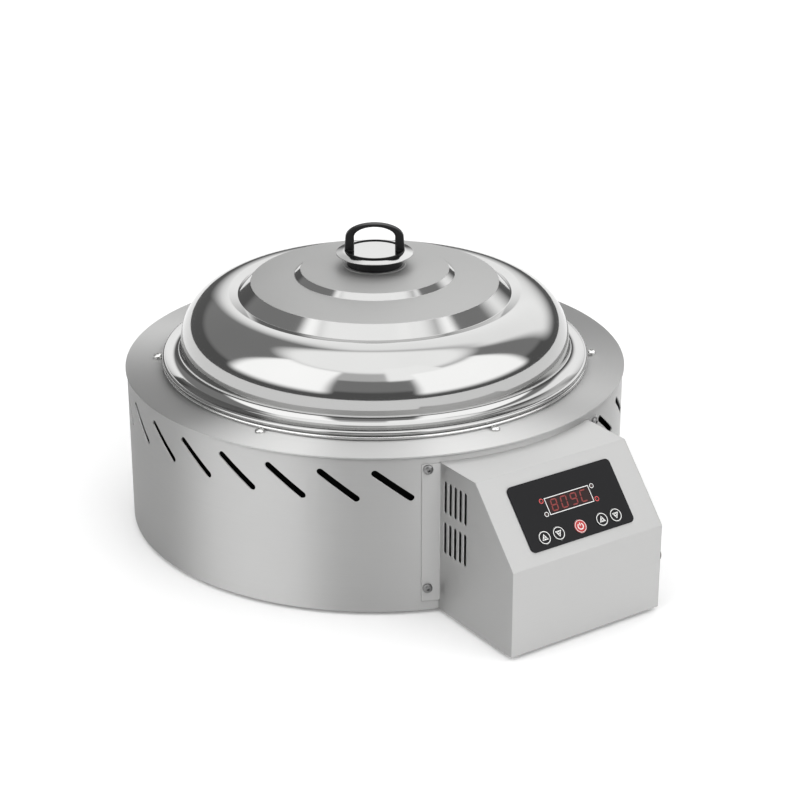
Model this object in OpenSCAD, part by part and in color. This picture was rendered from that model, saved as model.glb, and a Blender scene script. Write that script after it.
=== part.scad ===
// Countertop electric steamer: a round drum with a drop-in pan, a lift-off domed lid and a control box.
// Millimetres, +Z up. The origin lies on the counter, under the middle of the footprint; the box faces -Y.

/* [Drum] */
// Outer diameter of the top plate
drum_d = 520; // [500:5:560]
// Height of the top face above the drum's bottom edge
drum_h = 164; // [156:2:190]
// Thickness of the folded sheet
sheet_t = 1.2; // [1:0.1:1.5]
// Thickness of the top plate
plate_t = 1.5; // [1.2:0.1:2.5]
// How far the top plate stands out past the drum wall
plate_lip = 1.5; // [0.5:0.5:3]
// Width of the top plate's ring, from its edge in to the opening
plate_ring_w = 44; // [42:1:50]
// Number of dome-head screws in the top plate
plate_screw_count = 6; // [4:1:12]
// Distance from the edge of the opening to those screws
plate_screw_inset = 11; // [11:1:15]
// Turn of the screw circle away from the front
plate_screw_turn = -3; // [-10:1:10]

/* [Vent slots] */
// Number of slanted slots round the drum
slot_count = 27; // [15:1:27]
// Width of a slot
slot_w = 7; // [4:0.5:8]
// Sideways run of a slot along the wall
slot_run = 34; // [24:1:36]
// Fall of a slot from its upper end to its lower end
slot_fall = 26; // [20:1:32]
// Depth of a slot's upper end below the top face
slot_depth = 17; // [14:1:24]
// Angle kept free of slots on each side of the front
slot_free_angle = 30; // [29:1:60]

/* [Control box] */
// Width of the box
box_w = 178; // [170:2:190]
// How far the box stands out past the top plate
box_depth = 100; // [96:2:130]
// Depth of the flat top, from the top plate's edge to the bend
box_top_depth = 40; // [36:1:44]
// Drop from the top plate to the box's top
box_drop = 8; // [5:1:12]
// Height of the slope's foot above the drum's bottom edge
slope_foot = 88; // [80:1:90]
// Outer radius of the folds in the box's sheet
fold_r = 2.2; // [1.8:0.1:4]
// Width of the flange strips that hold the box to the drum
flange_w = 18; // [16:1:22]
// Vent columns in each side of the box
box_vent_columns = 5; // [3:1:6]
// Width of a vent in the side of the box
box_vent_w = 4; // [3:0.5:5]
// Length of a vent in the side of the box
box_vent_l = 33; // [24:1:36]

/* [Control panel] */
// Width of the black overlay
overlay_w = 122; // [118:1:140]
// Height of the black overlay, along the slope
overlay_h = 66; // [64:1:70]
// Distance from the bend to the overlay's upper edge
overlay_top = 13; // [10:1:14]
// Thickness of the overlay
overlay_t = 1; // [0.8:0.1:1.5]
// Diameter of a key
key_d = 13.2; // [11:0.2:14]
// Distance between the two keys of a pair
key_pitch = 16.7; // [16:0.1:17]
// Distance from the power key to the nearer key of each pair
key_side = 25.8; // [22:0.2:28]
// Distance from the bend to the row of keys
key_row = 68; // [66:1:69]
// Travel of a key
key_travel = 0.4; // [0.2:0.1:0.6]
// Width of the display window
display_w = 51; // [44:1:52]
// Height of the display window
display_h = 15.5; // [13:0.5:17]
// Distance from the bend to the middle of the display
display_row = 41; // [40:1:42]
// Distance of the indicator lamps from the middle
lamp_side = 30; // [29:0.5:34]
// Distance between the two lamps of a pair
lamp_pitch = 13.4; // [12:0.2:15]

/* [Pan] */
// Depth of the pan below the top face
pan_depth = 104; // [96:1:110]
// Gap between the pan and the edge of the opening
pan_gap = 5; // [4:0.5:8]
// How far the rolled rim laps over the opening
rim_lap = 6; // [5:0.5:8]
// Thickness of the pan's metal
pan_t = 1.2; // [0.8:0.1:1.6]
// Radius between the pan's wall and its bottom
pan_corner = 45; // [30:1:50]
// Radius of the pan's rolled rim
rim_bead = 2.1; // [1.8:0.1:2.6]

/* [Steam rack] */
// Height of the rack above the pan's floor
rack_rise = 45; // [40:1:60]
// Gap between the rack and the pan's wall
rack_gap = 6; // [4:0.5:10]
// Diameter of a steam hole
steam_hole_d = 14; // [8:1:16]
// Rings of steam holes
steam_ring_count = 6; // [3:1:6]
// Distance from the rack's edge in to the middles of its outer holes
rack_border = 24; // [16:1:30]

/* [Lid] */
// Thickness of the lid's metal
lid_t = 1; // [0.7:0.1:1.4]
// Radius of the lid's rolled brim
lid_bead = 2.4; // [2:0.1:3]
// Width of the brim, from its edge in to the dome's wall
brim_w = 20; // [17:1:24]
// Height of the dome's shoulder above the brim's underside
dome_h = 68.5; // [66:0.5:90]
// Radius of the dome's shoulder
shoulder_r = 51; // [40:1:51]
// Width of the outer raised step
outer_step_run = 13.5; // [8:0.5:16]
// Height of the outer raised step
outer_step_rise = 12.3; // [6:0.1:14]
// Width of the band between the two steps
band_w = 45; // [36:1:48]
// Rise of that band
band_rise = 7; // [4:0.5:10]
// Width of the inner raised step
inner_step_run = 6.5; // [4:0.5:9]
// Height of the inner raised step
inner_step_rise = 5.8; // [3:0.2:8]
// Rise of the cap from the inner step to the boss
cap_rise = 4; // [2:0.5:8]
// Diameter of the flat seat in the middle
boss_d = 64; // [62:1:72]

/* [Lid handle] */
// Width of the handle
handle_w = 62; // [58:1:66]
// Height of the handle above its plate
handle_h = 28.8; // [26:0.2:40]
// Depth of the handle, front to back
handle_depth = 9; // [9:0.5:14]
// Thickness of a handle leg
handle_leg = 10; // [8.5:0.5:12]
// Thickness of the handle at its top
handle_crown = 3.2; // [3:0.2:6]
// Turn of the handle about the lid's middle
handle_turn = -34; // [-90:1:90]
// Diameter of the polished plate under the handle
handle_plate_d = 80; // [74:1:86]
// Thickness of that plate in its middle
handle_plate_t = 3; // [2:0.5:4]
// Diameter of the neck between the plate and the lid
neck_d = 57; // [56:0.5:60]
// Height of that neck
neck_h = 12; // [6:0.5:16]

/* [Heating] */
// Diameter of the element tube
element_d = 8; // [6.5:0.5:10]
// Diameter of the outer element's ring
outer_ring_d = 300; // [290:2:310]
// Diameter of the inner element's ring
inner_ring_d = 180; // [160:2:200]
// Gap between the elements and the pan's bottom
element_gap = 2; // [1:0.5:4]

/* [Feet] */
// Gap between the drum's bottom edge and the counter
foot_gap = 4; // [3.5:0.5:12]
// Diameter of a foot
foot_d = 28; // [24:1:36]
// Distance from the drum's lining in to the middle of a foot
foot_inset = 29; // [26:1:45]

/* [Hidden] */
$fn = 96;
// Clearance between pieces that lift off or slide
slip = 0.3;
// Clearance round a fixed screw, stud or spigot
snug = 0.1;
// How far a rolled edge stands proud of the sheet that it is rolled from
bead_proud = 0.4;
// How far a hole reaches to each side of the sheet that it goes through
cut_reach = 10;
// How far a cut stands past the ends of the solid that it is made in
over = 1;
// Thickness of the glue under the control panel's film and window
glue_t = 0.05;

// Screw sizes: shank diameter, head diameter, head height
m5 = [5, 9.6, 3.6];
m5_low = [5, 9, 2.2];
m4 = [4, 7.8, 2.2];
m3 = [3, 5.6, 2];
// Shares of a dome head: its upright edge, and the floor and width of its hexagon socket
head_edge_share = 0.35;
socket_floor_share = 0.45;
socket_width_share = 0.7;
// Nut sizes: bore, width across corners, height
m5_nut = [5, 9.2, 4];
m4_nut = [4, 8.1, 3.2];

// Drum levels and radii, in the drum's own frame: its axis, and its bottom edge at zero
drum_r = drum_d / 2;
wall_r = drum_r - plate_lip;
opening_r = drum_r - plate_ring_w;
axis_y = box_depth / 2;
wall_top = drum_h - plate_t;
plate_reveal = 1;
wall_edge = wall_top - plate_reveal;
flange_z = wall_top - sheet_t;
collar_skirt = 5;
collar_clearance = 2;
collar_r = opening_r + collar_clearance;
collar_rim_r = wall_r - sheet_t - snug;
floor_z = 2 * sheet_t;
plate_screw_r = opening_r + plate_screw_inset;
plate_screw_l = 12;
base_flange_w = 18;
base_screw_count = 8;
base_screw_r = wall_r - base_flange_w / 2;
base_screw_l = 7;
slot_pitch = (360 - 2 * slot_free_angle) / (slot_count - 1);

// Inner lining
shield_t = 0.8;
shield_r = opening_r + 3;
ring_insulation_w = 22;
ring_insulation_r = shield_r + shield_t + slip;
ring_insulation_top = flange_z - 14;
pad_t = 20;
pad_r = shield_r - slip;
pad_gap = 1.5;
lead_window_w = 60;
lead_window_z = floor_z + pad_t + 1;
lead_window_h = 14;

// Pan
pan_r = opening_r - pan_gap;
rim_r = opening_r + rim_lap;
rim_top = drum_h + slip + 2 * rim_bead;
rim_ledge = rim_top - bead_proud - pan_t;
rim_fillet = 5;
pan_bottom = drum_h - pan_depth;
pan_floor = pan_bottom + pan_t;

// Heating
element_r = element_d / 2;
element_z = pan_bottom - element_gap - element_r;
element_stand = 11;
tray_t = 0.8;
tray_rim_h = 12;
tray_r = shield_r - 1;
tray_z = element_z - element_r - element_stand;
tray_top = tray_z + tray_t;
outer_leg_angle = 6;
inner_leg_angle = 7;
bush_d = element_d + 6;
bush_neck_d = element_d + 3;
bush_h = 4;
bush_drop = 3;
stud_d = 4;
stud_l = 10;
leg_end = tray_z - bush_drop - 2;
clip_w = element_d + 6;
clip_l = 8;
post_d = 10;
post_circle_r = (outer_ring_d + inner_ring_d) / 4;
post_count = 3;
tray_screw_l = 10;
probe_d = 16;
probe_h = 8;
probe_stem_d = 6;
probe_top = pan_bottom - slip;
probe_seat = probe_top - probe_h;
probe_cup_r = 10;
probe_flange_r = 18;

// Control box, in the drum's frame
box_top = drum_h - box_drop;
bend_y = drum_r + box_top_depth;
front_y = drum_r + box_depth;
slope_angle = atan2(box_top - slope_foot, front_y - bend_y);
strip_r = wall_r + snug;
strip_start = asin((box_w / 2 - sheet_t / 2) / strip_r);
strip_angle = flange_w / strip_r * 180 / PI;
strip_bottom = 10;
strip_top = box_top - 1;
flange_screw_edge = 6;
flange_screw_angle = strip_start + (flange_w - flange_screw_edge) / strip_r * 180 / PI;
flange_screw_rows = [strip_bottom + 14, strip_top - 5];
flange_screw_l = 8;
box_vent_pitch = 8;
box_vent_inset = 10;
box_vent_first_y = -sqrt(strip_r * strip_r - box_w * box_w / 4) - box_vent_inset;
box_vent_rows = [box_top - 33, box_top - 76];
box_inner_y = -wall_r + 40;
box_reach = front_y + box_inner_y;
top_fold = [-bend_y + fold_r * tan(slope_angle / 2), box_top - fold_r];
front_fold = [-front_y + fold_r, slope_foot - fold_r * tan((90 - slope_angle) / 2)];
box_lip_w = 12;
box_screw_l = 7;
box_screw_inset = 8;
box_screw_back = 4;
box_screw_spots = [
    for (side = [-1, 1], y = [-front_y + box_screw_inset, -wall_r - box_screw_back])
    [side * (box_w / 2 - box_screw_inset), y]
];

// Control panel: distances from the bend along the slope, and heights above the sheet
panel_corner = 5;
stem_d = 4;
key_edge = 0.2;
key_lift = key_travel + slip;
key_t = 0.8;
key_gap = 0.4;
lamp_d = 3;
lamp_rows = [display_row - lamp_pitch / 2, display_row + lamp_pitch / 2];
board_t = 1.6;
standoff_d = 6;
standoff_l = 10.8;
board_seat = 0.02;
board_face = -sheet_t - board_seat - standoff_l;
board_margin = 2;
board_w = overlay_w - 2 * board_margin;
board_h = overlay_h - 2 * board_margin;
board_row = overlay_top + overlay_h / 2;
board_inset = 4;
board_screw_l = 7;
switch_w = 6;
switch_h = 3.5;
switch_cap_d = 3.5;
switch_cap_h = 1.5;
switch_top = board_face + switch_h + switch_cap_h;
display_block_w = display_w - 1;
display_block_h = display_h + 3.5;
display_bezel = 2;
display_gap = 0.3;
window_t = 0.8;

// Power parts on the box's bottom
power_w = 84;
power_l = 58;
power_x = -34;
power_y = -(wall_r + front_y) / 2;
power_face = sheet_t + standoff_l + board_t;
core_size = [36, 30, 26];
coil_size = [24, 40, 20];
transformer_x = power_x - 22;
relay_size = [13, 29, 25];
relay_pitch = 17;
relay_x = power_x + 14;
block_size = [22, 56, 20];
block_x = 45;
block_y = power_y + 4;
block_poles = 4;
block_screw_d = 5;
lead_d = 3.2;
lead_pitch = 12;
lead_entry = 6;
lead_fan = 4;
lead_bend = 5;
gland_y = -front_y + 26;
gland_z = 42;
gland_thread_d = 16;
gland_bore_d = 8.4;
gland_hex_d = 26;
gland_hex_t = 5;
gland_cap_d = 21;
gland_cap_l = 8;
gland_nose_d = 15;
gland_nose_l = 5;
gland_tail = 9;
gland_nut_d = 24;
gland_nut_t = 5;

// Steam rack
rack_t = 1.2;
rack_top = pan_floor + rack_rise;
rack_r = pan_r - pan_t - rack_gap;
rack_rim_h = 8;
steam_ring_pitch = (rack_r - rack_border) / steam_ring_count;
rack_leg_d = 8;
rack_leg_r = steam_ring_pitch * 4.5;
rack_leg_count = 4;

// Lid: heights above the brim's underside, and radii worked inwards from the brim
lid_z = rim_top + slip;
brim_top = 2 * lid_bead - bead_proud;
dome_wall_r = rim_r - brim_w;
brim_fillet = 9;
crown_r = dome_wall_r - shoulder_r;
step_ledge = 9.5;
ledge_drop = 1.5;
outer_foot = [crown_r - step_ledge, dome_h - ledge_drop];
outer_head = outer_foot + [-outer_step_run, outer_step_rise];
inner_foot = outer_head + [-band_w, band_rise];
inner_head = inner_foot + [-inner_step_run, inner_step_rise];
boss_r = boss_d / 2;
boss_rise = 0.5;
cap_edge = [boss_r, inner_head[1] + cap_rise];
boss_top = cap_edge[1] + boss_rise;
cap_bow = 0.3;
band_bow = 0.6;

// Handle
neck_z = lid_z + boss_top;
plate_z = neck_z + neck_h;
handle_z = plate_z + handle_plate_t;
handle_plate_r = handle_plate_d / 2;
plate_edge = 0.8;
handle_gap_w = handle_w - 2 * handle_leg;
handle_lean = 1;
handle_arch = 14.8;
handle_inner_arch = 11;
handle_edge = 4;
handle_foot_inset = 0.5;
handle_foot_r = handle_w / 2 - handle_foot_inset;
handle_foot_w = 2;
handle_foot_h = 1;
handle_screw_wall = 1.4;
handle_screw_x = handle_gap_w / 2 + handle_screw_wall + m4[0] / 2 + snug;
handle_screw_l = neck_h + 14;
washer_d = 10;
washer_t = 1;
handle_thread = handle_screw_l - washer_t - lid_t - neck_h - handle_plate_t;

// Feet
foot_r = shield_r - foot_inset;
foot_edge = 1;
foot_well_gap = 0.5;
foot_seat = m5_low[2] + foot_well_gap - foot_gap;
foot_thread_past = 1.5;

// Points along an arc, from one angle to another
function arc(centre, r, from, to, steps) = [
    for (i = [0:steps])
    let (a = from + (to - from) * i / steps)
    centre + r * [cos(a), sin(a)]
];

// Points along the upper half of an ellipse, from right to left
function half_ellipse(z, a, b, steps) = [
    for (i = [0:steps])
    let (t = 180 * i / steps)
    [a * cos(t), z + b * sin(t)]
];

// Points from one place to another along a gentle bow; the first place is left out
function bowed(from, to, bow, steps) = [
    for (i = [1:steps])
    let (t = i / steps)
    from + (to - from) * t + [0, 4 * bow * t * (1 - t)]
];

// The same line, moved sideways by a distance
function beside(line, distance) = [
    for (i = [0:len(line) - 1])
    let (along = line[min(i + 1, len(line) - 1)] - line[max(i - 1, 0)])
    line[i] + distance * [along[1], -along[0]] / norm(along)
];

function reversed(line) = [for (i = [len(line) - 1:-1:0]) line[i]];

// Side outline of the control box, set in by a sheet's thickness where asked
function box_outline(inset, bottom) = concat(
    [[box_inner_y, bottom], [box_inner_y, box_top - inset]],
    arc(top_fold, fold_r - inset, 90, 90 + slope_angle, 4),
    arc(front_fold, fold_r - inset, 90 + slope_angle, 180, 4),
    [[-front_y + inset, bottom]]
);

// Outline of the lid's upper side, from the middle out to the brim
lid_line = concat(
    [[0, boss_top], [boss_r - boss_rise, boss_top], cap_edge],
    bowed(cap_edge, inner_head, cap_bow, 6),
    [inner_foot],
    bowed(inner_foot, outer_head, band_bow, 4),
    [outer_foot],
    arc([crown_r, dome_h - shoulder_r], shoulder_r, 90, 0, 12),
    arc([dome_wall_r + brim_fillet, brim_top + brim_fillet], brim_fillet, 180, 270, 5),
    [[rim_r - lid_bead, brim_top]]
);

// Outline of the pan's outer side, from the middle of the bottom up to the rim
pan_line = concat(
    [[0, pan_bottom]],
    arc([pan_r - pan_corner, pan_bottom + pan_corner], pan_corner, -90, 0, 8),
    arc([pan_r + rim_fillet, rim_ledge - rim_fillet], rim_fillet, 180, 90, 5),
    [[rim_r - rim_bead, rim_ledge]]
);

// Moves a piece from the drum's frame to the origin on the counter
module at_drum() {
    translate([0, axis_y, foot_gap]) children();
}

// Repeats a piece round the drum's axis, starting at the front
module ring_of(count, radius, turn = 0) {
    for (i = [0:count - 1])
        rotate(turn + i * 360 / count) translate([0, -radius, 0]) children();
}

// Places a piece on the sloping panel: across, down from the bend, and out from the sheet
module on_panel(across, down, out = 0) {
    translate([0, -bend_y, box_top]) rotate([slope_angle, 0, 0]) translate([across, -down, out]) children();
}

// Places a piece on the outside of the drum's wall, facing outwards
module on_wall(angle, z) {
    rotate(angle) translate([0, -strip_r - sheet_t, z]) rotate([90, 0, 0]) children();
}

module at_feet() {
    ring_of(4, foot_r, 45) children();
}

module at_base_screws() {
    ring_of(base_screw_count, base_screw_r, 180 / base_screw_count) children();
}

module at_tray_posts() {
    ring_of(post_count, post_circle_r, 60) children();
}

module at_flange_screws() {
    for (side = [-1, 1], z = flange_screw_rows)
        on_wall(side * flange_screw_angle, z) children();
}

module at_box_screws() {
    for (spot = box_screw_spots)
        translate([spot[0], spot[1], 0]) children();
}

module at_board_corners() {
    for (side = [-1, 1], end = [-1, 1])
        on_panel(side * (board_w / 2 - board_inset), board_row + end * (board_h / 2 - board_inset)) children();
}

module at_power_corners() {
    for (side = [-1, 1], end = [-1, 1])
        translate([
            power_x + side * (power_w / 2 - board_inset),
            power_y + end * (power_l / 2 - board_inset),
            0
        ]) children();
}

// The four places where the elements go down through the tray
module at_element_legs() {
    for (side = [-1, 1]) {
        rotate(side * outer_leg_angle) translate([0, -outer_ring_d / 2, 0]) children();
        rotate(side * inner_leg_angle) translate([0, -inner_ring_d / 2, 0]) children();
    }
}

module at_keys() {
    for (across = [-key_side - key_pitch, -key_side, 0, key_side, key_side + key_pitch])
        on_panel(across, key_row) children();
}

module at_lamps() {
    for (side = [-1, 1], down = lamp_rows)
        on_panel(side * lamp_side, down) children();
}

module at_handle_screws() {
    rotate(handle_turn)
        for (side = [-1, 1])
            translate([side * handle_screw_x, 0, 0]) children();
}

// A dome-head screw, its head on top of the zero plane and its shank below, with a hexagon socket
module screw(size, length) {
    head_r = size[1] / 2;
    edge_h = size[2] * head_edge_share;
    difference() {
        union() {
            translate([0, 0, -length]) cylinder(d = size[0], h = length);
            rotate_extrude()
                polygon(concat(
                    [[0, 0], [head_r, 0]],
                    [for (a = [0:15:90]) [head_r * cos(a), edge_h + (size[2] - edge_h) * sin(a)]]
                ));
        }
        translate([0, 0, size[2] * socket_floor_share])
            cylinder(d = size[0] * socket_width_share, h = size[2], $fn = 6);
    }
}

// A hexagon nut standing on the zero plane
module nut(size) {
    difference() {
        cylinder(d = size[1], h = size[2], $fn = 6);
        hole(size[0] + 2 * snug);
    }
}

// A round hole through whatever lies near the zero plane
module hole(d, reach = cut_reach) {
    translate([0, 0, -reach]) cylinder(d = d, h = 2 * reach);
}

module screw_hole(size, reach = cut_reach) {
    hole(size[0] + 2 * snug, reach);
}

module rounded_square(w, h, r) {
    square([w - 2 * r, h], center = true);
    square([w, h - 2 * r], center = true);
    for (x = [-1, 1], y = [-1, 1])
        translate([x * (w / 2 - r), y * (h / 2 - r)]) circle(r);
}

// A slot with round ends, lying along X between the middles of its ends
module round_slot(length, w) {
    square([length, w], center = true);
    for (end = [-1, 1])
        translate([end * length / 2, 0]) circle(d = w);
}

// A standoff with a threaded bore, standing on the zero plane
module standoff() {
    difference() {
        cylinder(d = standoff_d, h = standoff_l);
        screw_hole(m3, standoff_l + over);
    }
}

module drum_slots() {
    slant = atan2(slot_fall, slot_run);
    for (i = [0:slot_count - 1])
        rotate(slot_free_angle + i * slot_pitch)
            translate([0, -wall_r + cut_reach, drum_h - slot_depth - slot_fall / 2])
                rotate([90, 0, 0])
                    rotate(-slant)
                        linear_extrude(2 * cut_reach) round_slot(norm([slot_run, slot_fall]), slot_w);
}

// Passage for the heater leads through the wall, the insulation and the shield
module lead_window() {
    translate([-lead_window_w / 2, -drum_r, lead_window_z])
        cube([lead_window_w, drum_r - shield_r + 2 * cut_reach, lead_window_h]);
}

module drum_wall() {
    color("silver") at_drum() difference() {
        rotate_extrude()
            polygon([
                [wall_r, 0], [wall_r, wall_edge], [wall_r - sheet_t, wall_edge], [wall_r - sheet_t, sheet_t],
                [wall_r - base_flange_w, sheet_t], [wall_r - base_flange_w, 0]
            ]);
        drum_slots();
        lead_window();
        at_base_screws() screw_hole(m4);
        at_flange_screws() screw_hole(m5);
    }
}

// Ring inside the wall's upper edge that carries the top plate, with a turned-down skirt and a welded nut
// under each screw
module collar_ring() {
    color("silver") at_drum() difference() {
        union() {
            rotate_extrude()
                polygon([
                    [collar_r, flange_z], [collar_rim_r - sheet_t, flange_z],
                    [collar_rim_r - sheet_t, flange_z - collar_skirt], [collar_rim_r, flange_z - collar_skirt],
                    [collar_rim_r, wall_top], [collar_r, wall_top]
                ]);
            ring_of(plate_screw_count, plate_screw_r, plate_screw_turn)
                translate([0, 0, flange_z - m5_nut[2]]) cylinder(d = m5_nut[1], h = m5_nut[2], $fn = 6);
        }
        ring_of(plate_screw_count, plate_screw_r, plate_screw_turn)
            translate([0, 0, flange_z]) screw_hole(m5);
    }
}

module top_plate() {
    edge = 0.4;
    color("gainsboro") at_drum() difference() {
        rotate_extrude()
            polygon([
                [opening_r, wall_top], [drum_r, wall_top],
                [drum_r, drum_h - edge], [drum_r - edge, drum_h], [opening_r, drum_h]
            ]);
        ring_of(plate_screw_count, plate_screw_r, plate_screw_turn)
            translate([0, 0, drum_h]) screw_hole(m5);
    }
}

module top_plate_screws() {
    color("lightgray") at_drum()
        ring_of(plate_screw_count, plate_screw_r, plate_screw_turn)
            translate([0, 0, drum_h]) screw(m5, plate_screw_l);
}

module base_plate() {
    color("darkgray") at_drum() difference() {
        translate([0, 0, sheet_t]) cylinder(r = wall_r - sheet_t - slip, h = sheet_t);
        at_base_screws() screw_hole(m4);
        at_feet() screw_hole(m5);
    }
}

module base_screws() {
    color("lightgray") at_drum()
        at_base_screws() mirror([0, 0, 1]) screw(m4, base_screw_l);
}

module rubber_feet() {
    foot_rad = foot_d / 2;
    bore_r = m5[0] / 2 + snug;
    well_r = m5_low[1] / 2 + foot_well_gap;
    color("dimgray") at_drum() at_feet()
        rotate_extrude()
            polygon([
                [bore_r, sheet_t], [foot_rad - foot_edge, sheet_t],
                [foot_rad, sheet_t - foot_edge], [foot_rad, foot_edge - foot_gap],
                [foot_rad - foot_edge, -foot_gap], [well_r, -foot_gap],
                [well_r, foot_seat], [bore_r, foot_seat]
            ]);
}

module foot_screws() {
    color("lightgray") at_drum() at_feet()
        translate([0, 0, foot_seat])
            mirror([0, 0, 1]) screw(m5_low, floor_z + m5_nut[2] + foot_thread_past - foot_seat);
}

module foot_nuts() {
    color("lightgray") at_drum() at_feet()
        translate([0, 0, floor_z]) nut(m5_nut);
}

module heat_shield() {
    color("lightsteelblue") at_drum() difference() {
        translate([0, 0, floor_z]) cylinder(r = shield_r + shield_t, h = flange_z - floor_z);
        translate([0, 0, floor_z - over]) cylinder(r = shield_r, h = drum_h);
        lead_window();
    }
}

module insulation_ring() {
    color("beige") at_drum() difference() {
        translate([0, 0, floor_z])
            cylinder(r = ring_insulation_r + ring_insulation_w, h = ring_insulation_top - floor_z);
        translate([0, 0, floor_z - over]) cylinder(r = ring_insulation_r, h = drum_h);
        lead_window();
    }
}

module base_insulation() {
    color("beige") at_drum() difference() {
        translate([0, 0, floor_z]) cylinder(r = pad_r, h = pad_t);
        translate([0, 0, floor_z]) {
            at_feet() hole(m5_nut[1] + 2 * pad_gap, pad_t + over);
            at_tray_posts() hole(post_d + 2 * pad_gap, pad_t + over);
        }
    }
}

module reflector_tray() {
    color("lightgray") at_drum() difference() {
        rotate_extrude()
            polygon([
                [0, tray_z], [tray_r, tray_z], [tray_r, tray_z + tray_rim_h],
                [tray_r - tray_t, tray_z + tray_rim_h], [tray_r - tray_t, tray_top], [0, tray_top]
            ]);
        translate([0, 0, tray_z]) {
            at_element_legs() hole(bush_neck_d + 2 * snug);
            at_tray_posts() screw_hole(m4);
            hole(probe_stem_d + 2 * slip);
        }
    }
}

module tray_posts() {
    color("silver") at_drum() at_tray_posts()
        translate([0, 0, floor_z]) difference() {
            cylinder(d = post_d, h = tray_z - floor_z);
            translate([0, 0, tray_z - floor_z]) screw_hole(m4, tray_screw_l + over);
        }
}

module tray_screws() {
    color("lightgray") at_drum() at_tray_posts()
        translate([0, 0, tray_top]) screw(m4, tray_screw_l);
}

// A tubular element: an open ring with both ends turned down to a threaded stud
module heating_element(ring_d, leg_angle) {
    rotate(-90 + leg_angle)
        translate([0, 0, element_z])
            rotate_extrude(angle = 360 - 2 * leg_angle) translate([ring_d / 2, 0]) circle(element_r);
    for (side = [-1, 1])
        rotate(side * leg_angle) translate([0, -ring_d / 2, 0]) {
            translate([0, 0, element_z]) sphere(element_r);
            translate([0, 0, leg_end]) cylinder(r = element_r, h = element_z - leg_end);
            translate([0, 0, leg_end - stud_l]) cylinder(d = stud_d, h = stud_l);
        }
}

module outer_element() {
    color("slategray") at_drum() heating_element(outer_ring_d, outer_leg_angle);
}

module inner_element() {
    color("slategray") at_drum() heating_element(inner_ring_d, inner_leg_angle);
}

// Open cradles on the tray that carry the rings
module element_clips() {
    color("lightgray") at_drum()
        for (ring_d = [outer_ring_d, inner_ring_d])
            ring_of(4, ring_d / 2, 45) difference() {
                translate([-clip_l / 2, -clip_w / 2, tray_top]) cube([clip_l, clip_w, element_z - tray_top]);
                translate([0, 0, element_z]) rotate([0, 90, 0])
                    hole(element_d + 2 * slip);
            }
}

// Ceramic bushes that carry the element's ends through the tray
module terminal_bushes() {
    color("ivory") at_drum() at_element_legs()
        rotate_extrude()
            polygon([
                [element_r + snug, tray_z - bush_drop], [bush_neck_d / 2, tray_z - bush_drop],
                [bush_neck_d / 2, tray_top], [bush_d / 2, tray_top],
                [bush_d / 2, tray_top + bush_h], [element_r + snug, tray_top + bush_h]
            ]);
}

module terminal_nuts() {
    color("gold") at_drum() at_element_legs()
        translate([0, 0, leg_end - m4_nut[2]]) nut(m4_nut);
}

// A pressed cup on the tray that carries the probe
module probe_bracket() {
    stem_r = probe_stem_d / 2 + snug;
    color("silver") at_drum()
        rotate_extrude()
            polygon([
                [probe_cup_r - sheet_t, tray_top], [probe_flange_r, tray_top],
                [probe_flange_r, tray_top + sheet_t], [probe_cup_r, tray_top + sheet_t],
                [probe_cup_r, probe_seat], [stem_r, probe_seat],
                [stem_r, probe_seat - sheet_t], [probe_cup_r - sheet_t, probe_seat - sheet_t]
            ]);
}

module temperature_probe() {
    edge = 1;
    color("goldenrod") at_drum()
        rotate_extrude()
            polygon([
                [0, tray_z - bush_drop], [probe_stem_d / 2, tray_z - bush_drop],
                [probe_stem_d / 2, probe_seat], [probe_d / 2, probe_seat],
                [probe_d / 2, probe_top - edge], [probe_d / 2 - edge, probe_top], [0, probe_top]
            ]);
}

module box_vents() {
    for (column = [0:box_vent_columns - 1], z = box_vent_rows)
        translate([0, box_vent_first_y - column * box_vent_pitch, z])
            rotate([0, 90, 0])
                linear_extrude(box_w + 2 * over, center = true)
                    round_slot(box_vent_l - box_vent_w, box_vent_w);
}

// Folded walls of the box, open at the bottom and towards the drum
module box_walls() {
    difference() {
        rotate([90, 0, 90]) linear_extrude(box_w, center = true) polygon(box_outline(0, 0));
        rotate([90, 0, 90])
            linear_extrude(box_w - 2 * sheet_t, center = true) polygon(box_outline(sheet_t, -over));
    }
}

// Lips turned in along the bottom edge, which the bottom is screwed to
module box_lips() {
    translate([-box_w / 2, -front_y, sheet_t]) cube([box_w, box_lip_w, sheet_t]);
    for (side = [0, 1])
        translate([side * (box_w - box_lip_w) - box_w / 2, -front_y, sheet_t])
            cube([box_lip_w, box_reach, sheet_t]);
}

module flange_strips() {
    for (start = [-strip_start - strip_angle, strip_start])
        rotate(start - 90)
            translate([0, 0, strip_bottom])
                rotate_extrude(angle = strip_angle)
                    translate([strip_r, 0]) square([sheet_t, strip_top - strip_bottom]);
}

module control_box_shell() {
    color("silver") at_drum() difference() {
        union() {
            difference() {
                union() {
                    box_walls();
                    box_lips();
                }
                translate([0, 0, -over]) cylinder(r = strip_r, h = drum_h);
            }
            flange_strips();
        }
        box_vents();
        at_flange_screws() screw_hole(m5);
        at_box_screws() screw_hole(m4);
        on_panel(0, display_row, -cut_reach)
            linear_extrude(2 * cut_reach)
                square([display_w - display_bezel, display_h - display_bezel], center = true);
        at_keys() hole(stem_d + 2 * key_gap);
        at_lamps() hole(lamp_d + 2 * slip);
        translate([box_w / 2, gland_y, gland_z]) rotate([0, 90, 0]) hole(gland_thread_d + 2 * slip);
    }
}

module control_box_bottom() {
    inner_w = box_w - 2 * sheet_t - 2 * slip;
    color("darkgray") at_drum() difference() {
        translate([-inner_w / 2, -front_y + sheet_t + slip, 0])
            cube([inner_w, box_reach - sheet_t - slip, sheet_t]);
        hole(2 * (strip_r + slip));
        at_box_screws() screw_hole(m4);
    }
}

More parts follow.
